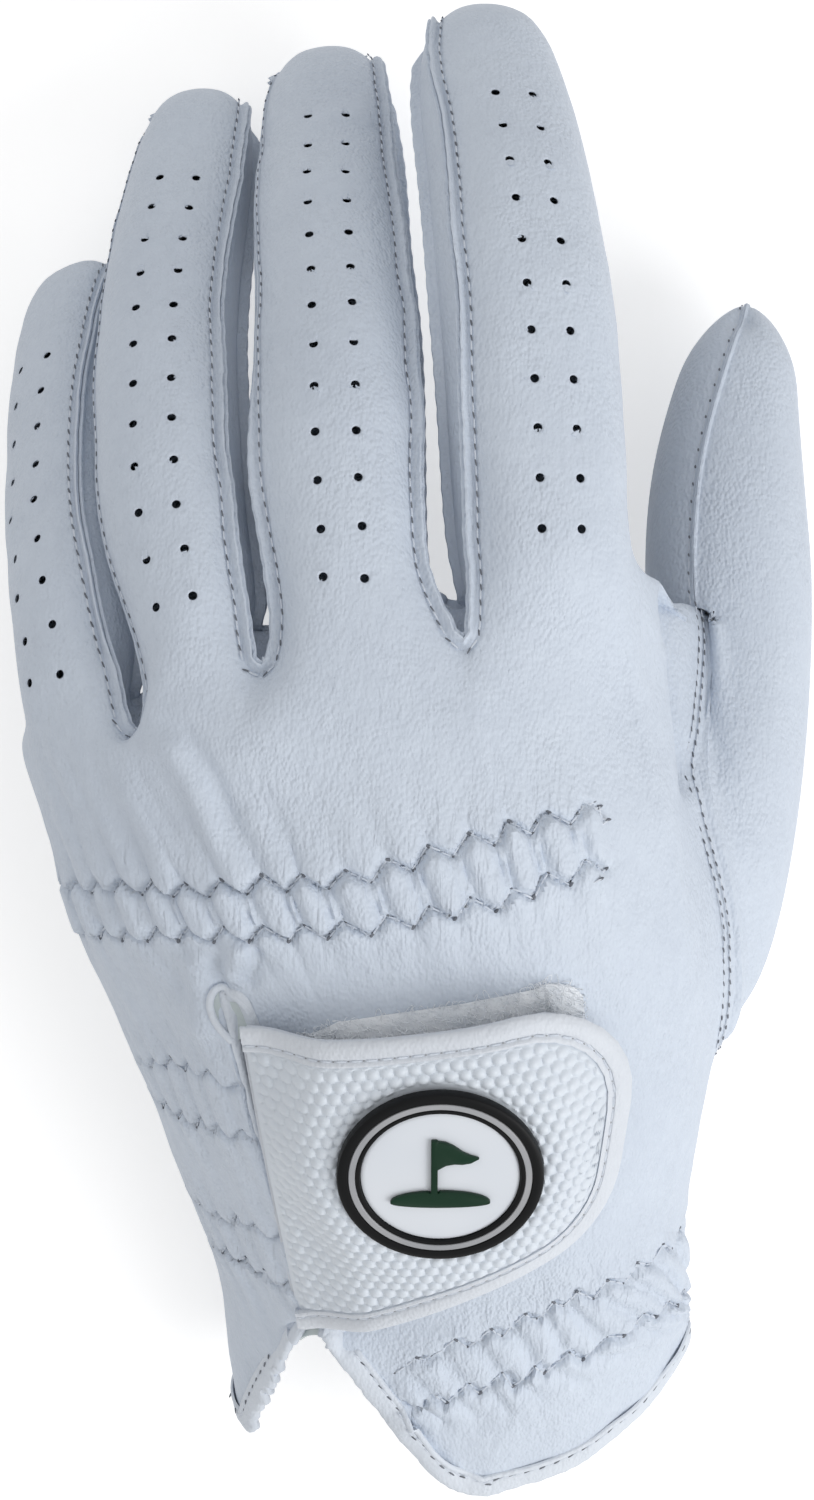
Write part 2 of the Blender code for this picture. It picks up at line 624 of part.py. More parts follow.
def add_tube(name, path, radius):
    tube = add_curve(name, path, "leather")
    tube.data.dimensions = "3D"
    tube.data.bevel_depth = radius
    tube.data.bevel_resolution = 2
    tube.data.use_fill_caps = True


def add_bindings(surface, normals, hand):
    """The rolled edge round the slit, and the one round the cuff."""
    share = (FIT + BINDING_RADIUS) / SLIT_WIDTH
    left, right = [], []
    for ring in range(APEX_RING, len(hand)):
        a, b = (surface.points[hand[ring]["back"][c]] for c in (ACROSS, ACROSS + 1))
        down = unit(normals[hand[ring]["back"][ACROSS]]) * LEATHER / 2
        left.append(a + (b - a) * share - down)
        right.append(b - (b - a) * share - down)
    back_off = unit(left[1] - left[0]) * (FIT * 1.6 + BINDING_RADIUS)
    left[0], right[0] = left[0] + back_off, right[0] + back_off
    add_tube("slit_binding", left[::-1] + right, BINDING_RADIUS)
    hem, inside = hand[-1], hand[-2]
    order = [ring["back"][ACROSS + 2:] + ring["side"] + ring["palm"][::-1] + ring["outer"]
             + ring["back"][:ACROSS] for ring in (hem, inside)]
    path = []
    for i, (edge, within) in enumerate(zip(*order)):
        along = surface.points[order[0][min(i + 1, len(order[0]) - 1)]]
        along = unit(along - surface.points[order[0][max(i - 1, 0)]])
        outward = unit(np.cross(along, normals[edge]))
        if outward.dot(surface.points[edge] - surface.points[within]) < 0:
            outward = -outward
        path.append(surface.points[edge] + outward * (FIT + HEM_RADIUS) - normals[edge] * LEATHER / 2)
    add_tube("cuff_binding", path, HEM_RADIUS)


# ---------------------------------------------------------------- the tab and its badge
# The tab is drawn flat: p runs from the sewn edge to the free end, q down the sewn edge, and
# heights are measured square to that plane.
def tab_corners():
    """Corners of the flat tab, with the radius at each."""
    return [(0.0, 0.0, TAB_SEWN_CORNER), (TAB_LENGTH, 0.0, TAB_CORNER),
            (TAB_LENGTH - TAB_TAPER, TAB_FREE_WIDTH, TAB_LOWER_CORNER),
            (0.0, TAB_SEWN_WIDTH, TAB_SEWN_CORNER)]


def hook_corners():
    """Corners of the hook patch, set in from the tab's edges."""
    start, end = HOOK_START, TAB_LENGTH - TAB_TAPER - HOOK_MARGIN
    slope = (TAB_FREE_WIDTH - TAB_SEWN_WIDTH) / (TAB_LENGTH - TAB_TAPER)
    return [(start, HOOK_MARGIN, HOOK_CORNER), (end, HOOK_MARGIN, HOOK_CORNER),
            (end, TAB_SEWN_WIDTH + end * slope - HOOK_MARGIN, HOOK_CORNER),
            (start, TAB_SEWN_WIDTH + start * slope - HOOK_MARGIN, HOOK_CORNER)]


def rounded_outline(corners, insets=(0.0, 0.0, 0.0, 0.0), steps=6):
    """A closed outline with round corners, each side drawn in by its own distance."""
    points = [np.array(c[:2], float) for c in corners]
    count = len(points)
    moved = []
    for i in range(count):
        one, two = unit(points[i] - points[i - 1]), unit(points[(i + 1) % count] - points[i])
        inward = np.array([[-one[1], one[0]], [-two[1], two[0]]])
        moved.append(points[i] + np.linalg.solve(inward, [insets[i - 1], insets[i]]))
    outline = []
    for i in range(count):
        here = moved[i]
        radius = max(corners[i][2] - min(insets[i - 1], insets[i]), TAB_SEWN_CORNER)
        one, two = unit(moved[i - 1] - here), unit(moved[(i + 1) % count] - here)
        half = 0.5 * math.acos(one.dot(two))
        centre = here + unit(one + two) * radius / math.sin(half)
        start = here + one * radius / math.tan(half) - centre
        end = here + two * radius / math.tan(half) - centre
        first = math.atan2(start[1], start[0])
        sweep = (math.atan2(end[1], end[0]) - first + math.pi) % (2 * math.pi) - math.pi
        for k in range(steps + 1):
            angle = first + sweep * k / steps
            outline.append(centre + radius * np.array([math.cos(angle), math.sin(angle)]))
    return outline


def evenly(path, spacing, closed=True):
    """The same path with extra points along its straight runs."""
    points = []
    for a, b in zip(path, path[1:] + path[:1] if closed else path[1:]):
        parts = max(1, math.ceil(np.linalg.norm(b - a) / spacing))
        points += [a + (b - a) * k / parts for k in range(parts)]
    return points if closed else points + [path[-1]]


class TabPlane:
    """The plane the flat tab is drawn in, and how the tab bends over the back of the wrist."""

    def __init__(self, surface):
        faces = [f for f, tag in zip(surface.faces, surface.tags) if tag in ("back_panel", "slit")]
        self.back = BVHTree.FromPolygons([Vector(p) for p in surface.points], faces)
        tilt, turn = math.radians(TAB_TILT), math.radians(TAB_TURN)
        down = np.array([0.0, -math.cos(tilt), -math.sin(tilt)])
        side = np.array([1.0, 0.0, 0.0])
        self.q = side * math.sin(turn) + down * math.cos(turn)
        self.p = side * math.cos(turn) - down * math.sin(turn)
        self.up = np.cross(self.q, self.p)
        plan = mm(TAB_ROOT) + (self.p * BADGE_PLACE[0] + self.q * BADGE_PLACE[1])[:2]
        hit = self.back.ray_cast(Vector((*plan, 1.0)), Vector((0, 0, -1)))[0]
        self.origin = np.array(hit) - self.p * BADGE_PLACE[0] - self.q * BADGE_PLACE[1]
        places = [(TAB_LENGTH * (i + 0.5) / SAMPLES, TAB_SEWN_WIDTH * (j + 0.5) / SAMPLES)
                  for i in range(SAMPLES) for j in range(SAMPLES)]
        found = [(self.measured(*place), self.powers(*place)) for place in places]
        heights = np.array([height for height, _ in found if height is not None])
        powers = np.array([power for height, power in found if height is not None])
        self.fit = np.linalg.lstsq(powers, heights, rcond=None)[0]
        self.slack = float(np.max(heights - powers @ self.fit))
        steps = (-BADGE_DIAMETER / 3, 0.0, BADGE_DIAMETER / 3)
        self.crest = max(self.ground(BADGE_PLACE[0] + dp, BADGE_PLACE[1] + dq)
                         for dp in steps for dq in steps)

    def measured(self, p, q):
        """Height of the back of the glove below a place on the flat tab."""
        above = Vector(self.origin + self.p * p + self.q * q + self.up * TAB_LENGTH)
        hit = self.back.ray_cast(above, Vector(-self.up))[0]
        return None if hit is None else (np.array(hit) - self.origin).dot(self.up)

    def powers(self, p, q):
        p, q = p / TAB_LENGTH, q / TAB_SEWN_WIDTH
        return [p ** i * q ** j for i in range(4) for j in range(4 - i)]

    def ground(self, p, q):
        """The same height, smoothed over the whole tab and never below the leather."""
        return float(np.dot(self.powers(p, q), self.fit)) + self.slack

    def underside(self, p, q):
        rise = ease((p - TAB_SEAM) / TAB_RISE)
        stack = LOOP_THICKNESS + HOOK_THICKNESS + TAB_GAP + FIT + TAB_EASE
        bent = self.ground(p, q) + FIT + TAB_EASE + stack * rise
        flat = self.crest + FIT + TAB_EASE + stack
        away = math.hypot(p - BADGE_PLACE[0], q - BADGE_PLACE[1]) - BADGE_DIAMETER / 2
        press = ease((away - BADGE_SEAT) / BADGE_FLAT)
        return press * bent + (1 - press) * flat

    def point(self, p, q, height):
        return self.origin + self.p * p + self.q * q + self.up * (self.underside(p, q) + height)


def ease(share):
    share = min(max(share, 0.0), 1.0)
    return share * share * (3 - 2 * share)


def add_plate(plane, name, outline, low, high, finish, columns=18, rows=14):
    """A bent plate of the tab between two heights, inside an outline."""
    first, last = min(p[0] for p in outline), max(p[0] for p in outline)
    outer, inner = [], []
    for i in range(columns + 1):
        spread = 0.5 - 0.5 * math.cos(math.pi * (0.04 + 0.92 * i / columns))
        p = first + (last - first) * spread
        cuts = [a[1] + (b[1] - a[1]) * (p - a[0]) / (b[0] - a[0])
                for a, b in zip(outline, outline[1:] + outline[:1])
                if (a[0] - p) * (b[0] - p) <= 0 and abs(a[0] - b[0]) > 1e-9]
        for j in range(rows + 1):
            q = min(cuts) + (max(cuts) - min(cuts)) * j / rows
            outer.append(plane.point(p, q, high))
            inner.append(plane.point(p, q, low))
    wide = rows + 1
    faces = [(i * wide + j, i * wide + j + 1, (i + 1) * wide + j + 1, (i + 1) * wide + j)
             for i in range(columns) for j in range(rows)]
    return thicken(name, outer, inner, faces, finish)


def add_border(plane, name, low, high):
    """The leather border along the tab's three free sides: a bent band of even width."""
    corner_steps = 6
    outline = rounded_outline(tab_corners(), steps=corner_steps)
    path = evenly(outline[corner_steps:-corner_steps], TAB_STEP, closed=False)
    inner = []
    for i, point in enumerate(path):
        along = unit(path[min(i + 1, len(path) - 1)] - path[max(i - 1, 0)])
        inner.append(point + np.array([-along[1], along[0]]) * TAB_BORDER)
    count = len(path)
    top = [plane.point(*p, high) for p in path + inner]
    bottom = [plane.point(*p, low) for p in path + inner]
    faces = [(i, i + count, i + 1 + count, i + 1) for i in range(count - 1)]
    return thicken(name, top, bottom, faces, "leather")


def turned(name, profile, place, finish, closed=False):
    """A turned piece: (radius, height) pairs that run down the outer side, spun by a Screw."""
    mesh = bpy.data.meshes.new(name)
    links = [(i, i + 1) for i in range(len(profile) - 1)]
    if closed:
        links.append((len(profile) - 1, 0))
    mesh.from_pydata([(r, 0.0, z) for r, z in profile], links, [])
    item = add_object(name, mesh, finish)
    screw = item.modifiers.new("Screw", "SCREW")
    screw.steps = screw.render_steps = 48
    screw.use_merge_vertices = True
    screw.merge_threshold = 1e-5
    item.matrix_world = place


def add_badge(plane, level):
    """The round badge in the tab's middle: moulded body, bright ring, disc and raised emblem."""
    centre = plane.point(*BADGE_PLACE, level)
    turn = math.radians(BADGE_TURN)
    side = plane.p * math.cos(turn) + plane.q * math.sin(turn)
    place = Matrix((side, np.cross(plane.up, side), plane.up)).transposed().to_4x4()
    place.translation = Vector(centre)
    outer = BADGE_DIAMETER / 2
    channel = outer - BADGE_RIM
    inner_rim = channel - BADGE_SILVER - 2 * FIT
    recess = inner_rim - BADGE_INNER_RIM
    floor = BADGE_HEIGHT - BADGE_RECESS - BADGE_DISC - FIT
    shelf = BADGE_HEIGHT - BADGE_SILVER - FIT
    turned("badge_body", [(0.0, floor), (recess, floor), (recess, BADGE_HEIGHT), (inner_rim, BADGE_HEIGHT),
                          (inner_rim, shelf), (channel, shelf), (channel, BADGE_HEIGHT),
                          (outer, BADGE_HEIGHT), (outer, 0.0), (0.0, 0.0)], place, "badge black")
    turned("badge_bright_ring", [(channel - FIT, BADGE_HEIGHT), (channel - FIT, shelf + FIT),
                                 (inner_rim + FIT, shelf + FIT), (inner_rim + FIT, BADGE_HEIGHT)],
           place, "badge silver", closed=True)
    top = floor + FIT + BADGE_DISC
    turned("badge_disc", [(0.0, top), (recess - FIT, top), (recess - FIT, floor + FIT),
                          (0.0, floor + FIT)], place, "badge white")
    emblem = add_curve("badge_emblem", [(x, y, 0.0) for x, y in emblem_outline()], "badge green")
    emblem.data.dimensions = "2D"
    emblem.data.fill_mode = "BOTH"
    emblem.data.extrude = EMBLEM_HEIGHT / 2
    emblem.data.splines[0].use_cyclic_u = True
    emblem.matrix_world = place @ Matrix.Translation((0, 0, top + FIT + EMBLEM_HEIGHT / 2))


def emblem_outline():
    """A flag on a low mound, drawn as one closed outline."""
    half, low = EMBLEM_WIDTH / 2, -0.30 * EMBLEM_WIDTH
    pole, thick = -0.06 * EMBLEM_WIDTH, 0.035 * EMBLEM_WIDTH
    high, swell = 0.46 * EMBLEM_WIDTH, 0.16 * EMBLEM_WIDTH
    steps = 9
    top = [(half * math.cos(math.pi * k / (2 * steps)), low + swell * math.sin(math.pi * k / (2 * steps)))
           for k in range(2 * steps + 1)]
    right = [p for p in top if p[0] > pole + thick + 0.3 * MM]
    left = [p for p in top if p[0] < pole - thick - 0.3 * MM]
    foot = low + swell
    flag = [(pole + thick, foot), (pole + thick, high - 0.34 * EMBLEM_WIDTH),
            (half * 0.82, high - 0.19 * EMBLEM_WIDTH), (pole + thick, high - 0.03 * EMBLEM_WIDTH),
            (pole + thick, high), (pole - thick, high), (pole - thick, foot)]
    under = [(-half * math.cos(math.pi * k / steps), low - 0.35 * swell * math.sin(math.pi * k / steps))
             for k in range(1, steps)]
    return right + flag + left + under


def hang_on_hinge(plane, names):
    """Parent the tab's pieces to an empty on the bend beside the sewn edge."""
    middle = (TAB_LINING + TAB_GAP + TAB_COVER) / 2
    ends = [plane.point(0.0, q, middle) for q in (0.0, TAB_SEWN_WIDTH)]
    hinge = bpy.data.objects.new("tab_hinge", None)
    COLLECTION.objects.link(hinge)
    axis = Vector(ends[0] - ends[1]).normalized()
    hinge.matrix_world = Matrix.Translation(Vector((ends[0] + ends[1]) / 2))
    hinge.matrix_world @= axis.to_track_quat("Z", "X").to_matrix().to_4x4()
    bpy.context.view_layer.update()
    for name in names:
        item = bpy.data.objects[name]
        place = item.matrix_world.copy()
        item.parent = hinge
        item.matrix_parent_inverse = hinge.matrix_world.inverted()
        item.matrix_world = place


def stand_on_origin():
    """Move the glove so that its box stands centred on the origin."""
    bpy.context.view_layer.update()
    graph = bpy.context.evaluated_depsgraph_get()
    corners = []
    for item in COLLECTION.objects:
        if item.type != "EMPTY":
            shape = item.evaluated_get(graph)
            mesh = shape.to_mesh()
            corners += [item.matrix_world @ v.co for v in mesh.vertices]
            shape.to_mesh_clear()
    low = [min(c[i] for c in corners) for i in range(3)]
    high = [max(c[i] for c in corners) for i in range(3)]
    shift = Vector((-(low[0] + high[0]) / 2, -(low[1] + high[1]) / 2, -low[2]))
    for item in COLLECTION.objects:
        if item.parent is None:
            item.matrix_world = Matrix.Translation(shift) @ item.matrix_world
    bpy.context.view_layer.update()


def main():
    surface, hand = build_surface()
    normals = surface.normals()
    for name in PANELS:
        cut_panel(surface, normals, name)
    add_bindings(surface, normals, hand)
    under = (LEATHER + FIT, LEATHER + FIT + ELASTIC_THICKNESS)
    for name, band in ELASTICS.items():
        add_strip(surface, normals, hand, name, band, under, "elastic")
    add_strip(surface, normals, hand, "loop_patch", LOOP_BAND, (-FIT - LOOP_THICKNESS, -FIT),
              "fastener", rows=8)
    plane = TabPlane(surface)
    outline = evenly(rounded_outline(tab_corners()), TAB_STEP)
    drawn_in = TAB_BORDER + FIT
    inside = evenly(rounded_outline(tab_corners(), (drawn_in, drawn_in, drawn_in, 0.0)), TAB_STEP)
    level = TAB_LINING + TAB_GAP
    add_plate(plane, "hook_patch", rounded_outline(hook_corners()), -TAB_GAP - HOOK_THICKNESS, -TAB_GAP,
              "fastener", columns=9, rows=11)
    add_plate(plane, "tab_lining", outline, 0.0, TAB_LINING, "lining")
    add_plate(plane, "tab_cover", inside, level, level + TAB_COVER, "moulded")
    add_border(plane, "tab_border", level, level + TAB_COVER)
    add_badge(plane, level + TAB_COVER + FIT)
    hang_on_hinge(plane, TAB_PIECES)
    stand_on_origin()


for item in list(bpy.data.objects):
    bpy.data.objects.remove(item, do_unlink=True)
COLLECTION = bpy.data.collections.new("golf_glove")
bpy.context.scene.collection.children.link(COLLECTION)
main()
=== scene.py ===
"""Dressed model of a left-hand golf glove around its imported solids.

One smooth surface is drawn for the whole glove, from the same named values as the part.  It is
gathered over the elastics, creased and pierced, and then cut along its seams into the leather
panels, whose edges turn out into sewn seams.  The tab, its badge and the trim are made after it.
"""
import json
import math
import random

import bmesh
import bpy
import numpy as np
from mathutils import Matrix, Vector, noise
from mathutils.bvhtree import BVHTree
from mathutils.kdtree import KDTree

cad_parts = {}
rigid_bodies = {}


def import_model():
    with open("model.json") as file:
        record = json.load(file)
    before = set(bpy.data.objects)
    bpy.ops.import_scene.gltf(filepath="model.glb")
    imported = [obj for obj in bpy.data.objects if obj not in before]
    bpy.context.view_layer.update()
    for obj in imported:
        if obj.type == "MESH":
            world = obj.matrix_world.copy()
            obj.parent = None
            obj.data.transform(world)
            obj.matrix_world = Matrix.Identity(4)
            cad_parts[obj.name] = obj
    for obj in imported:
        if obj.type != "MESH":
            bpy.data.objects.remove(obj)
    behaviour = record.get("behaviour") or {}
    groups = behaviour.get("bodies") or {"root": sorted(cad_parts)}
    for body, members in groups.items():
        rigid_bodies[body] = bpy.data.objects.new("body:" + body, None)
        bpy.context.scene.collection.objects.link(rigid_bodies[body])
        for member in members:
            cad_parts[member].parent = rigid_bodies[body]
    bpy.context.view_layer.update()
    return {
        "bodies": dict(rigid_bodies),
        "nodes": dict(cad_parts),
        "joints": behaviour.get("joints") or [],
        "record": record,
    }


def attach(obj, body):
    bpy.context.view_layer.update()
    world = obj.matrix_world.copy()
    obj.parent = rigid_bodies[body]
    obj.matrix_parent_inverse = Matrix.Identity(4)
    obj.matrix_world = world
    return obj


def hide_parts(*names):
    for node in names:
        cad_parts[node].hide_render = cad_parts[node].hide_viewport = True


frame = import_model()
MM = 0.001
STAND = np.array((-0.876, 0.977, -0.517)) * MM       # from the drawing's origin to the frame's

# ---------------------------------------------------------------- the part's own values
FIT = 0.3 * MM
SLIT_WIDTH = 3.0 * MM
CROTCH_WIDTH = 3.0 * MM
LOOP_THICKNESS = 1.0 * MM
HOOK_THICKNESS = 1.0 * MM
TAB_LINING = 0.7 * MM
TAB_COVER = 1.3 * MM
TAB_LENGTH = 52.3 * MM
TAB_TAPER = 8.8 * MM
TAB_SEWN_WIDTH = 50.3 * MM
TAB_FREE_WIDTH = 33.8 * MM
TAB_BORDER = 2.6 * MM
TAB_CORNER = 13.7 * MM
TAB_LOWER_CORNER = 16.4 * MM
TAB_SEWN_CORNER = 0.9 * MM
TAB_GAP = 0.45 * MM
TAB_EASE = 0.3 * MM
TAB_SEAM = 2.0 * MM
TAB_RISE = 9.0 * MM
HOOK_START = 24.0 * MM
HOOK_MARGIN = 4.0 * MM
HOOK_CORNER = 2.5 * MM
BADGE_DIAMETER = 25.4 * MM
BADGE_FLAT = 10.0 * MM
BADGE_SEAT = 0.6 * MM
TAB_ROOT = (-21.2, -34.9)        # mm, where the tab's sewn edge begins
TAB_TILT = 25.3                  # degrees
TAB_TURN = 7.5
BADGE_PLACE = (23.0 * MM, 18.2 * MM)
BADGE_TURN = 7.5
SAMPLES = 16                     # places measured each way under the tab

# ---------------------------------------------------------------- the hand, ring by ring
# Each ring: left edge (x, y, z), right edge (x, y, z), crest height, palm height, in mm.
HAND_RINGS = (
    ((-50.8, -1.0, 43.0), (33.4, 8.0, 48.5), 70.0, 46.5),
    ((-47.8, -9.0, 43.0), (34.6, 0.0, 48.0), 70.0, 44.0),
    ((-45.4, -17.0, 41.5), (36.8, -9.0, 47.0), 69.6, 41.5),
    ((-43.2, -25.0, 38.0), (38.7, -19.0, 44.5), 68.0, 38.5),
    ((-41.0, -31.5, 35.0), (40.0, -29.0, 41.0), 66.0, 34.5),
    ((-36.8, -42.0, 30.5), (40.2, -40.0, 35.0), 62.0, 28.5),
    ((-32.8, -54.0, 25.5), (39.5, -54.0, 28.5), 55.3, 20.0),
    ((-28.9, -65.0, 21.0), (38.3, -66.0, 24.5), 48.0, 13.0),
    ((-26.3, -74.0, 17.5), (39.0, -76.0, 22.0), 41.0, 7.0),
)
# Edge of the cuff, in mm: from the slit over the thumb side, under the palm, to the slit again.
LOBE_HEM = ((-11.0, -78.5, 39.0), (-4.0, -88.6, 34.0), (4.0, -98.8, 28.6), (9.0, -102.0, 27.0),
            (18.0, -100.4, 26.0), (27.0, -96.0, 24.5), (36.0, -88.0, 22.0), (38.6, -83.5, 20.5))
SIDE_HEM = ((39.2, -82.0, 17.0), (38.2, -81.0, 12.5))
PALM_HEM = ((35.0, -80.5, 8.0), (22.0, -79.5, 3.2), (6.0, -79.5, 1.8), (-9.0, -81.5, 2.0),
            (-20.5, -87.0, 5.0))
LEFT_HEM = ((-24.2, -92.6, 9.0),)
FLAP_HEM = ((-22.6, -96.4, 12.5), (-20.4, -91.6, 19.0), (-15.8, -79.6, 34.0))
# Where the fingers part on the back: x, y, z of each root, and the drop to the root on the palm.
ROOTS = ((-34.3, 2.6, 59.0), (-18.1, 11.2, 64.6), (6.8, 14.4, 65.4))
ROOT_DROP = (-0.5, 4.0, -10.5)
# The hole for the thumb, in mm: upper edge, from the web to the wrist, and lower edge.
THUMB_UPPER = ((40.0, 18.6, 31.5), (38.8, 2.0, 38.5), (38.8, -7.5, 42.0), (41.4, -18.4, 41.5),
               (43.1, -30.0, 38.0), (42.1, -39.5, 34.0))
THUMB_LOWER = ((32.5, 11.0, 24.5), (35.5, -1.0, 20.0), (37.5, -10.0, 17.5), (38.5, -19.0, 16.5),
               (38.8, -29.0, 17.0), (38.0, -38.0, 19.5))
WEB_MIDDLE = (34.8, 14.0, 28.0)

# ---------------------------------------------------------------- fingers and thumb
# Each station: crest (x, y, z), half width, half height, roll in degrees; all else in mm.
FINGERS = {
    "little": (((-47.2, 12.5, 53.6), 8.2, 7.6, -30), ((-49.8, 24.0, 48.0), 8.6, 8.0, -42),
               ((-51.3, 35.0, 40.4), 8.6, 7.8, -45), ((-51.7, 46.0, 33.0), 8.4, 7.5, -45),
               ((-51.0, 57.0, 25.2), 8.0, 7.2, -42), ((-48.6, 67.4, 16.4), 6.8, 6.2, -38)),
    "ring": (((-29.0, 17.5, 64.6), 8.1, 8.5, -8), ((-31.8, 31.0, 60.0), 9.2, 8.8, -10),
             ((-33.0, 45.0, 53.2), 9.4, 8.6, -10), ((-33.4, 58.0, 44.6), 9.3, 8.3, -10),
             ((-32.6, 71.0, 34.2), 9.1, 8.1, -10), ((-30.8, 83.5, 23.4), 8.6, 7.8, -8),
             ((-29.0, 93.3, 13.6), 7.0, 6.6, -6)),
    "middle": (((-7.8, 23.0, 67.6), 9.8, 9.2, 0), ((-8.9, 37.0, 64.0), 10.5, 9.2, 0),
               ((-9.3, 51.0, 58.2), 10.6, 9.0, 0), ((-10.0, 64.0, 49.4), 10.3, 8.8, 0),
               ((-10.8, 76.5, 38.8), 9.9, 8.5, 0), ((-11.0, 89.0, 26.6), 9.3, 8.2, 0),
               ((-11.1, 99.0, 16.0), 7.6, 7.0, 0)),
    "index": (((19.4, 27.0, 66.0), 10.8, 9.6, 12), ((18.9, 42.0, 63.6), 11.2, 9.3, 15),
              ((18.0, 57.0, 60.2), 11.3, 9.0, 16), ((16.6, 71.0, 54.0), 11.1, 8.8, 17),
              ((14.8, 84.0, 45.4), 10.6, 8.4, 17), ((13.0, 93.7, 37.8), 10.0, 8.0, 17),
              ((11.2, 101.4, 30.4), 8.2, 7.0, 16)),
}
FINGER_REACH = 7.3               # mm from the last station's centre to the seam over the tip
# How far the seams lie round each section, in degrees, from the root to the tip.
SEAM_TURN = {"little": (-3, -6, -8, -8, -8, -8), "ring": (-4, -8, -11, -13, -14, -15, -15),
             "middle": (0, -1, -3, -6, -9, -12, -12), "index": (0, 3, 6, 8, 9, 9, 9)}
ROOT_TURN = {"little": 4, "ring": 18, "middle": 7, "index": 0}    # degrees, first station only
# The thumb: centre (x, y, z), half width, half height, of sections square to its length.
THUMB = (((44.9, 19.0, 20.6), 11.4, 12.4), ((44.8, 31.0, 18.8), 11.2, 11.6),
         ((45.3, 41.0, 16.8), 10.2, 10.3), ((46.4, 49.5, 14.8), 8.8, 8.9),
         ((47.6, 56.5, 13.0), 6.6, 6.9))
THUMB_REACH = 5.0                # mm from the last section to the seam over the tip
THUMB_TURN = (-27, -25, -21, -16, -12)     # degrees, where the first seam sits round each section
THENAR_BULGE = (15.0, 4.0, -3.0)

# ---------------------------------------------------------------- how the leather is divided
FOURCHETTES = ("little_ring_fourchette", "ring_middle_fourchette", "middle_index_fourchette")
PANELS = ("back_panel", "palm_panel", "thumb_outer_panel", "thumb_inner_panel",
          "thumb_quirk") + FOURCHETTES
ACROSS = 4                       # faces across the back of one finger
ROUND = 0.86                     # 1 is an ellipse, less is fuller
SEAM_ANGLE = math.radians(68.0)  # from the crest to the seam beside a finger
BACK_TURNS = [SEAM_ANGLE * (2 * j / ACROSS - 1) for j in range(ACROSS + 1)]
APEX_RING = 4                    # ring where the wrist slit starts
SLIT_LEAN = 0.034                # how far the slit leans over below its first ring, as a share
HOLE_END = 5                     # ring where the thumb hole ends
HOLE_DRAW = 9                    # columns of the palm that are drawn towards the thumb hole
BACK_ANGLE = math.radians(72)    # from the crest to the last column of the back
FINGER_SHARES = ((0.0, 0.226, 0.248, 0.396, 0.414, 0.630, 0.650, 1.0),
                 (0.0, 0.252, 0.276, 0.414, 0.430, 0.644, 0.660, 1.0))
COLUMNS = 4 * (ACROSS + 1)       # points across the back
FAR = (99.0, 99.0)               # place of a corner that has no column or ring number


def mm(values):
    return np.array(values, float) * MM


def unit(vector):
    return vector / max(np.linalg.norm(vector), 1e-12)


def power(value):
    return math.copysign(abs(value) ** ROUND, value)


def smooth(value):
    value = np.clip(value, 0.0, 1.0)
    return value * value * (3 - 2 * value)


def heading(path, i):
    """Direction of a path at one of its points."""
    return unit(path[min(i + 1, len(path) - 1)] - path[max(i - 1, 0)])


def upright(ahead):
    """Directions across a heading and above it."""
    across = unit(np.cross(ahead, [0, 0, 1]))
    return across, np.cross(across, ahead)


def path_lengths(points, scale=1.0):
    """Lengths of a path's steps, and the length up to each of its points."""
    steps = np.linalg.norm(np.diff(points, axis=0), axis=1) / scale
    return steps, np.concatenate([[0.0], np.cumsum(steps)])


def path_point(at, reach, points):
    """Points of a path at the given lengths along it."""
    return np.stack([np.interp(at, reach, np.asarray(points)[:, k]) for k in range(3)], -1)


def softened(path, rounds):
    """The same path with its inner points drawn towards their neighbours."""
    for _ in range(rounds):
        path[1:-1] = (path[:-2] + 2 * path[1:-1] + path[2:]) / 4
    return path


def tree_of(points):
    tree = KDTree(len(points))
    for i, place in enumerate(points):
        tree.insert(place, i)
    tree.balance()
    return tree


def through(points, share):
    """A point on a smooth curve through the given ones, at a share of its length."""
    points = np.array(points, float)
    steps, at = path_lengths(points)
    target = share * at[-1]
    i = int(min(max(np.searchsorted(at, target) - 1, 0), len(points) - 2))
    t = (target - at[i]) / steps[i]
    before = points[i - 1] if i > 0 else 2 * points[i] - points[i + 1]
    after = points[i + 2] if i + 2 < len(points) else 2 * points[i + 1] - points[i]
    a, b = points[i], points[i + 1]
    return 0.5 * (2 * a + (b - before) * t + (2 * before - 5 * a + 4 * b - after) * t ** 2
                  + (3 * a - before - 3 * b + after) * t ** 3)


class Surface:
    """Points and tagged faces of the whole glove, before it is cut into panels."""

    def __init__(self):
        self.points = []
        self.faces = []
        self.tags = []
        self.places = []

    def add(self, point):
        self.points.append(np.array(point, float))
        return len(self.points) - 1

    def face(self, tag, *corners, place=None):
        """A tagged face.  Its place is a column and a ring number for each of its corners."""
        self.faces.append(corners)
        self.tags.append(tag)
        self.places.append(place or [FAR] * len(corners))


# ---------------------------------------------------------------- rings of the hand
def column_shares(ring):
    """Places of the columns across the back, 0 at the little finger's side and 1 at the thumb's."""
    blend = min(max(ring, 0) / APEX_RING, 1.0)
    ends = [(1 - blend) * a + blend * b for a, b in zip(*FINGER_SHARES)]
    lean = SLIT_LEAN * min(max(ring - APEX_RING + 1, 0), 1)
    ends[1] += lean
    ends[2] += lean
    shares = []
    for finger in range(4):
        low, high = ends[2 * finger], ends[2 * finger + 1]
        shares += [low + (high - low) * j / ACROSS for j in range(ACROSS + 1)]
    return shares


def hand_point(ring, angle):
    left, right, crest, palm = HAND_RINGS[ring]
    left, right = mm(left), mm(right)
    middle = 0.5 * (crest + palm) * MM
    height = 0.5 * (crest - palm) * MM
    across = power(math.sin(angle))
    side = left if across < 0 else right
    point = 0.5 * (left + right) + 0.5 * (right - left) * across
    point[2] = middle - (middle - side[2]) * abs(across) ** 2.4 + height * power(math.cos(angle))
    return point


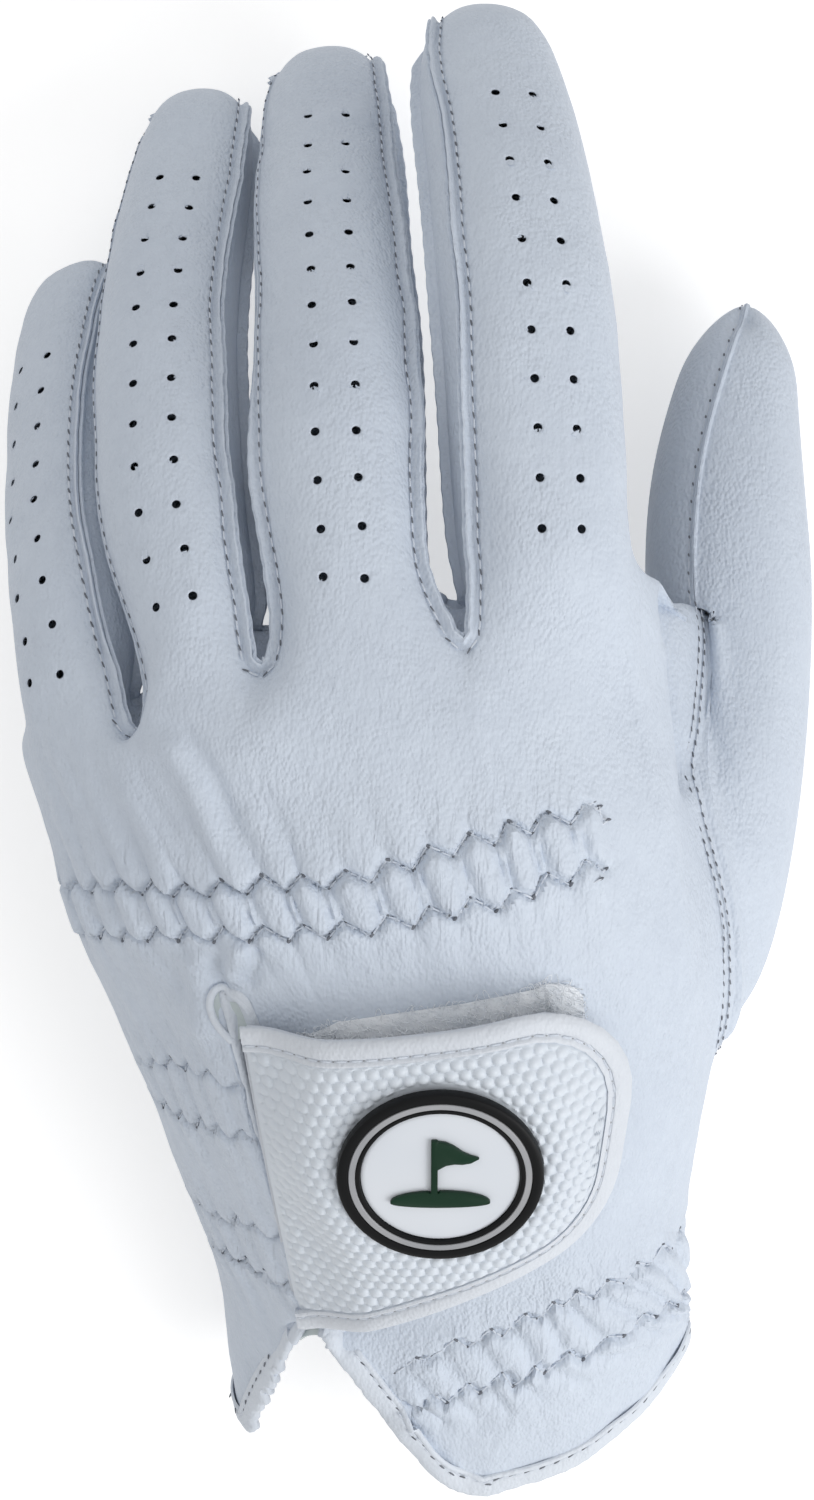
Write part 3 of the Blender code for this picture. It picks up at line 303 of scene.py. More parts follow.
def slit_sides(points):
    """Set the two columns beside the wrist slit apart by its width."""
    a, b = points[ACROSS], points[ACROSS + 1]
    centre, along = 0.5 * (a + b), unit(b - a)
    points[ACROSS] = centre - along * SLIT_WIDTH / 2
    points[ACROSS + 1] = centre + along * SLIT_WIDTH / 2


def hand_ring(ring):
    """Back, thumb side, palm and outer side of one ring, as lists of points."""
    angles = [(2 * s - 1) * BACK_ANGLE for s in column_shares(ring)]
    back = [hand_point(ring, a) for a in angles]
    palm = [hand_point(ring, math.pi - a) for a in angles]
    side = [hand_point(ring, math.radians(a)) for a in (84, 97)]
    outer = [hand_point(ring, math.radians(-90))]
    if ring >= APEX_RING:
        slit_sides(back)
    if ring <= HOLE_END:
        side[0] = mm(THUMB_UPPER[ring])
        lower = mm(THUMB_LOWER[ring])
        side[1] = mm(WEB_MIDDLE) if ring == 0 else 0.5 * (side[0] + lower)
        move = lower - palm[-1]
        for step in range(HOLE_DRAW):
            weight = 0.5 + 0.5 * math.cos(math.pi * step / HOLE_DRAW)
            palm[-1 - step] = palm[-1 - step] + weight * move
    return {"back": back, "side": side, "palm": palm, "outer": outer}


def hem_ring():
    last = column_shares(len(HAND_RINGS))
    flap, lobe = last[:ACROSS + 1], last[ACROSS + 1:]
    back = [through(mm(FLAP_HEM), (s - flap[0]) / (flap[-1] - flap[0])) for s in flap]
    back += [through(mm(LOBE_HEM), (s - lobe[0]) / (lobe[-1] - lobe[0])) for s in lobe]
    palm = [through(mm(PALM_HEM), 1 - s) for s in last]
    return {"back": back, "side": [mm(p) for p in SIDE_HEM], "palm": palm,
            "outer": [mm(p) for p in LEFT_HEM]}


def halfway(one, other, share):
    return {part: [(1 - share) * a + share * b for a, b in zip(one[part], other[part])] for part in one}


# ---------------------------------------------------------------- rings of the fingers
def section(centre, across, up, half_width, half_height, angle):
    return (centre + across * half_width * power(math.sin(angle))
            + up * half_height * power(math.cos(angle)))


def finger_frames(name):
    """Centre, sideways, up and forward direction, half width and half height of each station."""
    stations = FINGERS[name]
    crests = [mm(s[0]) for s in stations]
    frames = []
    for i, (_, width, height, roll) in enumerate(stations):
        ahead = heading(crests, i)
        across, up = upright(ahead)
        turn = Matrix.Rotation(math.radians(roll), 3, Vector(ahead))
        if i == 0:
            turn = Matrix.Rotation(math.radians(ROOT_TURN[name]), 3, "Z") @ turn
        across, up = (np.array(turn @ Vector(v)) for v in (across, up))
        turned = math.radians(SEAM_TURN[name][i])
        frames.append((crests[i] - up * height * MM, across, up, ahead, width * MM, height * MM, turned))
    return frames


def finger_ring(frame, side_angles):
    centre, across, up, _, width, height, turned = frame

    def round_at(angle):
        return section(centre, across, up, width, height, angle + turned)

    return {"back": [round_at(a) for a in BACK_TURNS], "palm": [round_at(math.pi - a) for a in BACK_TURNS],
            "side": [round_at(math.radians(a)) for a in side_angles], "outer": [round_at(-math.pi / 2)]}


def finger_tip(frame):
    centre, across, up, ahead, width, height, turned = frame
    level = across * math.cos(turned) - up * math.sin(turned)
    return [centre + ahead * FINGER_REACH * MM * math.cos(a) + level * width * 0.8 * math.sin(a)
            - up * height * 0.12 for a in BACK_TURNS]


# ---------------------------------------------------------------- the whole surface
def ring_order(ring):
    return ring["back"] + ring["side"] + ring["palm"][::-1] + ring["outer"]


def add_hand(surface):
    """The hand from the finger roots to the hem.  Returns point numbers, ring by ring."""
    rings = [hand_ring(i) for i in range(len(HAND_RINGS))]
    hem = hem_ring()
    rings += [halfway(rings[-1], hem, 0.5), hem]
    numbers = [{part: [surface.add(p) for p in ring[part]] for part in ring} for ring in rings]
    for i in range(len(rings) - 1):
        join_rings(surface, numbers[i], numbers[i + 1], i)
    return numbers


def join_rings(surface, front, rear, index):
    """Faces between two rings of the hand; front is nearer the fingertips."""
    loops = [ring_order(front), ring_order(rear)]
    count = len(loops[0])
    for i in range(count):
        j = (i + 1) % count
        tag = "palm_panel" if COLUMNS + 2 <= i < 2 * COLUMNS + 1 else "back_panel"
        if i == ACROSS and index >= APEX_RING:
            tag = "slit"
        if i in (COLUMNS, COLUMNS + 1) and 0 <= index < HOLE_END:
            continue
        column = i if i < 2 * COLUMNS + 1 else i - 2 * COLUMNS - 3
        place = [(column, index), (column, index + 1), (column + 1, index + 1), (column + 1, index)]
        surface.face(tag, loops[0][i], loops[1][i], loops[1][j], loops[0][j], place=place)


def add_roots(surface, hand, fingers):
    """The slanting row through the finger roots, between the hand and the finger tubes."""
    def between(part, column, finger, place):
        rear, front = surface.points[hand[0][part][column]], fingers[finger][0][part][place]
        beyond, ahead = surface.points[hand[1][part][column]], fingers[finger][1][part][place]
        return surface.add((9 * rear + 9 * front - beyond - ahead) / 16)

    rows = {"back": [], "palm": []}
    for part in rows:
        for finger in range(4):
            for j in range(ACROSS + 1):
                root = finger - 1 if j == 0 else finger
                if (j == 0 and finger > 0) or (j == ACROSS and finger < 3):
                    point = mm(ROOTS[root]) + (mm(ROOT_DROP) if part == "palm" else 0)
                    point[0] += CROTCH_WIDTH / 2 * (1 if j == 0 else -1)
                    rows[part].append(surface.add(point))
                else:
                    rows[part].append(between(part, finger * (ACROSS + 1) + j, finger, j))
    side = [between("side", k, 3, k) for k in range(2)]
    outer = [between("outer", 0, 0, 0)]
    middles = []
    for root in range(3):
        low = mm(ROOTS[root]) + 0.5 * mm(ROOT_DROP)
        offset = np.array([CROTCH_WIDTH / 2, -0.6 * MM, 0])
        middles.append([surface.add(low - offset * [1, -1, 0]), surface.add(low + offset)])
    row = {**rows, "side": side, "outer": outer}
    join_rings(surface, row, hand[0], -1)
    for root in range(3):
        left, right = (root + 1) * (ACROSS + 1) - 1, (root + 1) * (ACROSS + 1)
        a, b = middles[root]
        tag = FOURCHETTES[root]
        surface.face(tag, row["back"][left], row["back"][right], b, a)
        surface.face(tag, a, b, row["palm"][right], row["palm"][left])
    return row, middles


def add_finger(surface, finger, rings, tip, row, middles):
    """One finger tube on its part of the root row, closed by a seam over the tip."""
    first = finger * (ACROSS + 1)
    part = slice(first, first + ACROSS + 1)
    loop = {"back": row["back"][part], "palm": row["palm"][part],
            "side": row["side"] if finger == 3 else [middles[finger][0]],
            "outer": row["outer"] if finger == 0 else [middles[finger - 1][1]]}
    side_tag = "back_panel" if finger == 3 else FOURCHETTES[finger]
    outer_tag = "back_panel" if finger == 0 else FOURCHETTES[finger - 1]
    sides = len(loop["side"])
    tags = (["back_panel"] * ACROSS + [side_tag] * (sides + 1)
            + ["palm_panel"] * ACROSS + [outer_tag] * 2)
    loops = [ring_order(loop)]
    for ring in rings:
        loops.append([surface.add(p) for p in ring_order(ring)])
    for level, (low, high) in enumerate(zip(loops, loops[1:])):
        for i, tag in enumerate(tags):
            j = (i + 1) % len(tags)
            column = first + i if i < len(tags) - 2 else i - len(tags)
            place = [(column, -1 - level), (column + 1, -1 - level), (column + 1, -2 - level),
                     (column, -2 - level)]
            surface.face(tag, low[i], low[j], high[j], high[i], place=place)
    ends = [surface.add(p) for p in tip]
    last = loops[-1]
    under = ACROSS + 1 + sides
    for j in range(ACROSS):
        surface.face("back_panel", last[j], last[j + 1], ends[j + 1], ends[j])
        surface.face("palm_panel", last[under + ACROSS - j - 1], last[under + ACROSS - j],
                     ends[j], ends[j + 1])
    for i in range(ACROSS, under):
        surface.face(side_tag, last[i], last[i + 1], ends[-1])
    for i in (under + ACROSS, under + ACROSS + 1):
        surface.face(outer_tag, last[i], last[(i + 1) % len(last)], ends[0])


def thumb_rings(hole):
    """Sections of the thumb, then two rings that swell from the hole into the first section."""
    count = len(hole)
    sections = []
    centres = [mm(s[0]) for s in THUMB]
    for i, (_, width, height) in enumerate(THUMB):
        ahead = heading(centres, i)
        across, up = upright(ahead)
        turn = math.radians(THUMB_TURN[i])
        angles = [turn + 2 * math.pi * k / count for k in range(count)]
        sections.append([section(centres[i], across, up, width * MM, height * MM, a) for a in angles])
    ahead = unit(centres[1] - centres[0])
    swell = []
    for t in (0.3, 0.64):
        ring = []
        for k, (start, end) in enumerate(zip(hole, sections[0])):
            leave = mm(THENAR_BULGE) * (1.6 if 2 <= k <= 8 else 0.8)
            arrive = ahead * np.linalg.norm(end - start) * 0.9
            ring.append((2 * t ** 3 - 3 * t ** 2 + 1) * start + (t ** 3 - 2 * t ** 2 + t) * leave
                        + (-2 * t ** 3 + 3 * t ** 2) * end + (t ** 3 - t ** 2) * arrive)
        swell.append(ring)
    tip = []
    size = 0.5 * (THUMB[-1][1] * MM + THUMB[-1][2] * MM)
    ahead = unit(centres[-1] - centres[-2])
    across, up = upright(ahead)
    start = math.radians(THUMB_TURN[-1])
    seam = unit(across * math.sin(start) + up * math.cos(start))
    half = count // 2
    for k in range(half + 1):
        angle = math.pi * k / half
        tip.append(centres[-1] + ahead * THUMB_REACH * MM * math.sin(angle) ** 0.7
                   + seam * size * 0.72 * math.cos(angle) + ahead * 1.5 * MM)
    return swell + sections, tip


def add_thumb(surface, hand):
    upper = [hand[i]["side"][0] for i in range(HOLE_END + 1)]
    lower = [hand[i]["palm"][-1] for i in range(HOLE_END + 1)]
    hole = upper + [hand[HOLE_END]["side"][1]] + lower[::-1] + [hand[0]["side"][1]]
    rings, tip = thumb_rings([surface.points[n] for n in hole])
    count, half = len(hole), len(hole) // 2
    loops = [hole] + [[surface.add(p) for p in ring] for ring in rings]
    for level, (low, high) in enumerate(zip(loops, loops[1:])):
        for i in range(count):
            j = (i + 1) % count
            tag = "thumb_outer_panel" if i < half else "thumb_inner_panel"
            if level == 0 and i >= count - 2:
                tag = "thumb_quirk"
            surface.face(tag, low[i], low[j], high[j], high[i])
    ends = [surface.add(p) for p in tip]
    last = loops[-1]
    for i in range(half):
        surface.face("thumb_outer_panel", last[i], last[i + 1], ends[i + 1], ends[i])
        surface.face("thumb_inner_panel", last[half + i], last[(half + i + 1) % count],
                     ends[half - i - 1], ends[half - i])


def build_surface():
    surface = Surface()
    hand = add_hand(surface)
    fingers, tips = [], []
    for name in FINGERS:
        frames = finger_frames(name)
        side_angles = (84, 98) if name == "index" else (90,)
        fingers.append([finger_ring(f, side_angles) for f in frames])
        tips.append(finger_tip(frames[-1]))
    row, middles = add_roots(surface, hand, fingers)
    for k in range(4):
        add_finger(surface, k, fingers[k], tips[k], row, middles)
    add_thumb(surface, hand)
    return surface, hand


# ---------------------------------------------------------------- the tab and its badge
# The tab is drawn flat: p runs from the sewn edge to the free end, q down the sewn edge, and
# heights are measured square to that plane.
def tab_corners():
    """Corners of the flat tab, with the radius at each."""
    return [(0.0, 0.0, TAB_SEWN_CORNER), (TAB_LENGTH, 0.0, TAB_CORNER),
            (TAB_LENGTH - TAB_TAPER, TAB_FREE_WIDTH, TAB_LOWER_CORNER),
            (0.0, TAB_SEWN_WIDTH, TAB_SEWN_CORNER)]


def hook_corners():
    """Corners of the hook patch, set in from the tab's edges."""
    start, end = HOOK_START, TAB_LENGTH - TAB_TAPER - HOOK_MARGIN
    slope = (TAB_FREE_WIDTH - TAB_SEWN_WIDTH) / (TAB_LENGTH - TAB_TAPER)
    return [(start, HOOK_MARGIN, HOOK_CORNER), (end, HOOK_MARGIN, HOOK_CORNER),
            (end, TAB_SEWN_WIDTH + end * slope - HOOK_MARGIN, HOOK_CORNER),
            (start, TAB_SEWN_WIDTH + start * slope - HOOK_MARGIN, HOOK_CORNER)]


def rounded_outline(corners, insets=(0.0, 0.0, 0.0, 0.0), steps=6):
    """A closed outline with round corners, each side drawn in by its own distance."""
    points = [np.array(c[:2], float) for c in corners]
    count = len(points)
    moved = []
    for i in range(count):
        one, two = unit(points[i] - points[i - 1]), unit(points[(i + 1) % count] - points[i])
        inward = np.array([[-one[1], one[0]], [-two[1], two[0]]])
        moved.append(points[i] + np.linalg.solve(inward, [insets[i - 1], insets[i]]))
    outline = []
    for i in range(count):
        here = moved[i]
        radius = max(corners[i][2] - min(insets[i - 1], insets[i]), TAB_SEWN_CORNER)
        one, two = unit(moved[i - 1] - here), unit(moved[(i + 1) % count] - here)
        half = 0.5 * math.acos(one.dot(two))
        centre = here + unit(one + two) * radius / math.sin(half)
        start = here + one * radius / math.tan(half) - centre
        end = here + two * radius / math.tan(half) - centre
        first = math.atan2(start[1], start[0])
        sweep = (math.atan2(end[1], end[0]) - first + math.pi) % (2 * math.pi) - math.pi
        for k in range(steps + 1):
            angle = first + sweep * k / steps
            outline.append(centre + radius * np.array([math.cos(angle), math.sin(angle)]))
    return outline


def evenly(path, spacing):
    """The same path with extra points along its straight runs."""
    points = []
    for a, b in zip(path, path[1:]):
        parts = max(1, math.ceil(np.linalg.norm(b - a) / spacing))
        points += [a + (b - a) * k / parts for k in range(parts)]
    return points + [path[-1]]


class TabPlane:
    """The plane the flat tab is drawn in, and how the tab bends over the back of the wrist."""

    def __init__(self, surface):
        faces = [f for f, tag in zip(surface.faces, surface.tags) if tag in ("back_panel", "slit")]
        self.back = BVHTree.FromPolygons([Vector(p) for p in surface.points], faces)
        tilt, turn = math.radians(TAB_TILT), math.radians(TAB_TURN)
        down = np.array([0.0, -math.cos(tilt), -math.sin(tilt)])
        side = np.array([1.0, 0.0, 0.0])
        self.q = side * math.sin(turn) + down * math.cos(turn)
        self.p = side * math.cos(turn) - down * math.sin(turn)
        self.up = np.cross(self.q, self.p)
        plan = mm(TAB_ROOT) + (self.p * BADGE_PLACE[0] + self.q * BADGE_PLACE[1])[:2]
        hit = self.back.ray_cast(Vector((*plan, 1.0)), Vector((0, 0, -1)))[0]
        self.origin = np.array(hit) - self.p * BADGE_PLACE[0] - self.q * BADGE_PLACE[1]
        places = [(TAB_LENGTH * (i + 0.5) / SAMPLES, TAB_SEWN_WIDTH * (j + 0.5) / SAMPLES)
                  for i in range(SAMPLES) for j in range(SAMPLES)]
        found = [(self.measured(*place), self.powers(*place)) for place in places]
        heights = np.array([height for height, _ in found if height is not None])
        powers = np.array([power for height, power in found if height is not None])
        self.fit = np.linalg.lstsq(powers, heights, rcond=None)[0]
        self.slack = float(np.max(heights - powers @ self.fit))
        steps = (-BADGE_DIAMETER / 3, 0.0, BADGE_DIAMETER / 3)
        self.crest = max(self.ground(BADGE_PLACE[0] + dp, BADGE_PLACE[1] + dq)
                         for dp in steps for dq in steps)

    def measured(self, p, q):
        """Height of the back of the glove below a place on the flat tab."""
        above = Vector(self.origin + self.p * p + self.q * q + self.up * TAB_LENGTH)
        hit = self.back.ray_cast(above, Vector(-self.up))[0]
        return None if hit is None else (np.array(hit) - self.origin).dot(self.up)

    def powers(self, p, q):
        p, q = p / TAB_LENGTH, q / TAB_SEWN_WIDTH
        return [p ** i * q ** j for i in range(4) for j in range(4 - i)]

    def ground(self, p, q):
        """The same height, smoothed over the whole tab and never below the leather."""
        return float(np.dot(self.powers(p, q), self.fit)) + self.slack

    def underside(self, p, q):
        rise = smooth((p - TAB_SEAM) / TAB_RISE)
        stack = LOOP_THICKNESS + HOOK_THICKNESS + TAB_GAP + FIT + TAB_EASE
        bent = self.ground(p, q) + FIT + TAB_EASE + stack * rise
        flat = self.crest + FIT + TAB_EASE + stack
        away = math.hypot(p - BADGE_PLACE[0], q - BADGE_PLACE[1]) - BADGE_DIAMETER / 2
        press = smooth((away - BADGE_SEAT) / BADGE_FLAT)
        return press * bent + (1 - press) * flat

    def point(self, p, q, height):
        return self.origin + self.p * p + self.q * q + self.up * (self.underside(p, q) + height)


# ---------------------------------------------------------------- the smooth surface
SLIT_TAG = "slit"
TAGS = PANELS + (SLIT_TAG,)
FIT_ROUNDS = 4                   # times the cage is corrected towards the drawn points
SMOOTH_LEVELS = 3


def new_object(name, mesh):
    item = bpy.data.objects.new(name, mesh)
    bpy.context.scene.collection.objects.link(item)
    return item


def activate(item):
    bpy.ops.object.select_all(action="DESELECT")
    item.select_set(True)
    bpy.context.view_layer.objects.active = item


def apply_modifiers(item):
    activate(item)
    for modifier in list(item.modifiers):
        bpy.ops.object.modifier_apply(modifier=modifier.name)


def mesh_points(mesh):
    points = np.empty(len(mesh.vertices) * 3)
    mesh.vertices.foreach_get("co", points)
    return points.reshape(-1, 3)


def smooth_surface(surface):
    """A dense mesh whose limit passes near every drawn point, tagged and placed as the faces are."""
    mesh = bpy.data.meshes.new("glove_surface")
    target = np.array(surface.points)
    mesh.from_pydata([tuple(p) for p in target], [], surface.faces)
    mesh.polygons.foreach_set("material_index", [TAGS.index(tag) for tag in surface.tags])
    layer = mesh.uv_layers.new(name="place")
    layer.data.foreach_set("uv", [value for place in surface.places for corner in place for value in corner])
    item = new_object("glove_surface", mesh)
    subdivision = item.modifiers.new("Subdivision", "SUBSURF")
    subdivision.levels = subdivision.render_levels = 1
    subdivision.uv_smooth = "NONE"
    shape = target.copy()
    for _ in range(FIT_ROUNDS):
        graph = bpy.context.evaluated_depsgraph_get()
        limit = mesh_points(item.evaluated_get(graph).data)[:len(target)]
        shape += target - limit
        mesh.vertices.foreach_set("co", shape.ravel())
        mesh.update()
    subdivision.levels = subdivision.render_levels = SMOOTH_LEVELS
    apply_modifiers(item)
    return item


# ---------------------------------------------------------------- leather over the elastics
# Each gather: two rows of stitches by (column, ring); its first and last column; the length of a
# zigzag, where the zigzags are counted from, and the width of a ring, in mm; how far the zigzags
# swing and the cells puff, in mm; and (swell, reach) of the folds above and below it.
GATHERS = (
    {"upper": ((-2, 2.05), (2.7, 2.15), (5.4, 2.28), (8, 2.26), (11, 2.3), (12.4, 2.07), (13.3, 1.95),
               (15, 1.84), (16.3, 1.71), (18, 1.6)),
     "lower": ((-2, 2.8), (2.2, 2.9), (5.8, 2.95), (8.4, 3.0), (11, 3.0), (12.4, 2.85), (13.3, 2.79),
               (15, 2.66), (16.2, 2.44), (18, 2.3)),
     "ends": (-1.2, 16.5), "period": 5.3, "start": 12.42, "ring": 8.8, "zigzag": 1.05, "puff": 1.35,
     "slip": 0.15, "pleat": 0.5, "soft": 0.7,
     "above": (((-2, 1.5), (8, 1.3), (17, 0.75)), ((-2, 11), (8, 8), (14, 4))),
     "below": (((-2, 0.8), (17, 0.9)), ((-2, 5), (17, 4))),
     "lean": ((-2, 0.1), (6, 0.2), (11, 0.05), (18, 0))},
    {"upper": ((-1, 5.0), (1.7, 4.93), (3.1, 4.96), (3.8, 5.06)),
     "lower": ((-1, 5.35), (0.7, 5.47), (1.5, 5.58), (2.6, 5.61), (3.7, 5.58)),
     "ends": (-0.9, 4.1), "period": 4.3, "start": 1.7, "ring": 13.0, "zigzag": 0.9, "puff": 0.55,
     "slip": 0.1, "pleat": 0, "soft": 1.8,
     "above": (((0, 0.8),), ((0, 6),)), "below": (((0, 0.8),), ((0, 6),)),
     "lean": ((-2, 0.25), (4, 0.25))},
    {"upper": ((-1, 6.6), (0.9, 6.7), (1.5, 6.84), (2.3, 6.75), (3.4, 6.79)),
     "lower": ((-1, 7.3), (0.5, 7.33), (1.5, 7.4), (2.3, 7.52), (3.1, 7.52)),
     "ends": (-0.9, 4.1), "period": 4.1, "start": 1.4, "ring": 12.6, "zigzag": 0.9, "puff": 0.55,
     "slip": 0.1, "pleat": 0, "soft": 1.8,
     "above": (((0, 0.8),), ((0, 5),)), "below": (((0, 1.0),), ((0, 7),)),
     "lean": ((-2, 0.3), (4, 0.3))},
    {"upper": ((9, 9.7), (10.7, 9.0), (11.4, 8.5), (12.3, 8.27), (12.9, 8.11), (13.8, 7.9), (15.6, 7.7),
               (16.7, 7.43), (17.5, 7.23), (20, 6.9)),
     "lower": ((9, 10.6), (10.6, 9.85), (11.4, 9.43), (12.2, 9.06), (13.1, 8.78), (15.3, 8.55),
               (16.1, 8.41), (17.2, 8.1), (20, 7.8)),
     "ends": (10.4, 20.5), "period": 4.9, "start": 12.3, "ring": 11.5, "zigzag": 1.0, "puff": 0.8,
     "slip": 1.65, "pleat": 0, "soft": 0.9, "edge": 1.6,
     "above": (((9, 0.6),), ((9, 4),)), "below": (((9, 1.0),), ((9, 11),)),
     "lean": ((9, 1.5), (20, 1.2))},
)
# Soft creases of the leather: points (x, y) in mm, half width and height in mm.
CREASES = (
    (((-34.5, 1.5), (-29.2, 0.0), (-26.2, -4.6), (-22.4, -14.8)), 1.7, 0.85),
    (((-37.4, -1.0), (-32.2, -9.8), (-28.2, -16.0)), 1.5, 0.6),
    (((-46.0, -6.5), (-42.0, -12.5), (-39.4, -17.2)), 1.4, 0.55),
    (((-41.5, -5.5), (-37.0, -12.5), (-34.0, -17.0)), 1.3, 0.4),
    (((-20.6, -6.5), (-17.5, -11.5), (-14.3, -16.2)), 1.5, 0.4),
    (((-26.6, -24.5), (-26.4, -28.0), (-25.9, -32.0), (-24.6, -37.0)), 1.7, 1.3),
    (((-20.9, -23.6), (-21.2, -26.6), (-22.4, -29.6)), 1.5, 1.2),
    (((-46.5, 36.0), (-52.5, 30.0), (-56.0, 22.0)), 1.5, 0.35),
    (((-27.5, 70.0), (-34.0, 74.5), (-38.0, 72.5)), 1.6, 0.3),
    (((-3.0, 88.0), (-9.0, 87.0), (-17.0, 84.5)), 1.6, 0.3),
    (((31.2, 21.0), (32.6, 14.0), (33.8, 6.0), (34.6, -2.0), (35.6, -7.0)), 1.1, 0.6),
)
# The web: how deep the leather tucks in beside the hand before the thumb's seam, in mm.
TUCK_DEPTH = 4.2
TUCK_LINE = ((-8.0, 36.4), (2.0, 35.6), (14.0, 35.2), (24.0, 35.8))     # (y, x) of its middle
ROLL_HEIGHT = 2.5                # mm that the flap's edge rises beside the tab
ROLL_WIDTH = 8.0
ROLL_ROUND = 1.0                 # radius of the edge itself
COLUMN_WIDTH = 4.0               # mm between two columns of the flap
FLAP_REACH = 0.8                 # mm that the flap's edge reaches towards the tab
HALF_BEATS = 80                  # corners of a zigzag row, counted each way from its start
VALLEY_DEPTH, VALLEY_WIDTH = 0.6, 0.34     # mm, of the line that a row of stitches pulls in


def tuck(x, y, z):
    middle = np.interp(y, [p[0] for p in TUCK_LINE], [p[1] for p in TUCK_LINE])
    ends = smooth((y + 7) / 6) * smooth((25 - y) / 6)
    return TUCK_DEPTH * np.exp(-((x - middle) / 1.6) ** 2) * ends * smooth((51 - z) / 6)


def level_at(pairs, column):
    return np.interp(column, [p[0] for p in pairs], [p[1] for p in pairs])


def grid_point(surface, hand, column, ring):
    """A drawn point of the back at fractional column and ring numbers."""
    i = int(np.clip(math.floor(ring), 0, len(hand) - 2))
    j = int(np.clip(math.floor(column), -2, COLUMNS))
    total = np.zeros(3)
    for line, share in ((hand[i], 1 - (ring - i)), (hand[i + 1], ring - i)):
        row = line["palm"][:1] + line["outer"] + line["back"] + line["side"]
        total += share * (1 - (column - j)) * surface.points[row[j + 2]]
        total += share * (column - j) * surface.points[row[j + 3]]
    return total


def arc_lengths(surface, hand, gather):
    """Length along a gather, in mm, for columns from the outer side to the thumb."""
    columns = np.arange(-2, COLUMNS + 0.01, 0.25)
    middle = [(level_at(gather["upper"], c) + level_at(gather["lower"], c)) / 2 for c in columns]
    points = np.array([grid_point(surface, hand, c, min(m, len(hand) - 1.01))
                       for c, m in zip(columns, middle)])
    lengths = path_lengths(points, MM)[1]
    return columns, lengths - np.interp(gather["start"], columns, lengths)


def gathered(gather, arc, column, ring):
    """Height of the cells, folds and stitched valleys of one gather, in mm."""
    beat = np.interp(column, *arc) / gather["period"]
    upper, lower = level_at(gather["upper"], column), level_at(gather["lower"], column)
    down = (ring - upper) * gather["ring"]
    gap = (lower - upper) * gather["ring"]
    lean = level_at(gather["lean"], column)
    period, zigzag, puff = gather["period"], gather["zigzag"], gather["puff"]
    slip = gather["slip"]
    inner = beat - slip * np.clip(down / gap, 0, 1)
    size = 1 + 0.18 * np.sin(2.4 * np.round(inner) + 1.3)
    near = np.abs(inner - np.round(inner))
    top = down + zigzag * (1 - 4 * np.abs(beat - np.round(beat)))
    foot = down - gap - zigzag * (1 - 4 * np.abs(beat - slip - np.round(beat - slip)))
    edge_width = gather.get("edge", 1.15)
    cell = smooth(top / edge_width) * smooth(-foot / edge_width)
    main = 1 - np.minimum(near / 0.4, 1) ** 3
    pleat = gather["pleat"] * (1 - np.minimum((0.5 - near) / 0.12, 1) ** 2)
    height = puff * size * cell * np.maximum(main, pleat)
    for edge, (swell, fade), base, late in ((top, gather["above"], down, 0),
                                            (-foot, gather["below"], down - gap, slip)):
        away = np.maximum(-edge, 0)
        fold = beat - late + 0.5 - lean * base / period
        turn = np.round(fold)
        fold = np.abs(fold - turn)
        swells = level_at(swell, column) * (1 + 0.3 * np.sin(2.9 * turn + 0.6))
        reach = level_at(fade, column) * (1 + 0.35 * np.sin(1.7 * turn + 2.0))
        height += (swells * smooth(away / edge_width / 0.87) * np.exp(-away / reach)
                   * (1 - (2 * fold) ** 1.8))
    height -= VALLEY_DEPTH * (np.exp(-(top / VALLEY_WIDTH) ** 2) + np.exp(-(foot / VALLEY_WIDTH) ** 2))
    first, last = gather["ends"]
    reach = np.exp(-np.maximum(-top - 18, 0) / 2) * np.exp(-np.maximum(foot - 20, 0) / 2)
    start = smooth((column - first) / gather["soft"] + 0.1)
    return height * reach * start * smooth((last - column) / 0.7 + 0.5)


def gather_line(surface, hand, gather, arc, low_row):
    """Corners of one zigzag row, as drawn points, from the outer side to the thumb."""
    columns, lengths = arc
    first, last = gather["ends"]
    corners = []
    for half_beats in range(-HALF_BEATS, HALF_BEATS):
        beat = half_beats / 2
        column = float(np.interp(beat * gather["period"], lengths, columns))
        if not first - 0.05 < column < last + 0.05 or not -2 < column < COLUMNS - 0.1:
            continue
        up = -1 if half_beats % 2 else 1
        if low_row:
            column = float(np.interp((beat + gather["slip"]) * gather["period"], lengths, columns))
        level = level_at(gather["lower" if low_row else "upper"], column)
        shift = gather["zigzag"] / gather["ring"] * up * (1 if low_row else -1)
        corners.append((grid_point(surface, hand, column, min(level + shift, len(hand) - 1.01)), up))
    return corners


def crease(points, width, height, x, y):
    """A soft fold along a path, with a shallow valley on its right."""
    best = np.full(len(x), 1e9)
    signed = np.zeros(len(x))
    share = np.zeros(len(x))
    total = len(points) - 1
    for i, (a, b) in enumerate(zip(points, points[1:])):
        along = np.array(b, float) - a
        length = np.linalg.norm(along)
        along /= length
        t = np.clip((x - a[0]) * along[0] + (y - a[1]) * along[1], 0, length)
        dx, dy = x - a[0] - along[0] * t, y - a[1] - along[1] * t
        away = np.hypot(dx, dy)
        closer = away < best
        best = np.where(closer, away, best)
        signed = np.where(closer, np.copysign(away, dx * -along[1] + dy * along[0]), signed)
        share = np.where(closer, (i + t / length) / total, share)
    fade = smooth(share / 0.25) * smooth((1 - share) / 0.2)
    ends = np.clip(best / width - 4, 0, None)
    ridge = np.exp(-(signed / width) ** 2) - 0.6 * np.exp(-((signed - 1.5 * width) / (0.6 * width)) ** 2)
    return height * fade * ridge * np.exp(-ends)


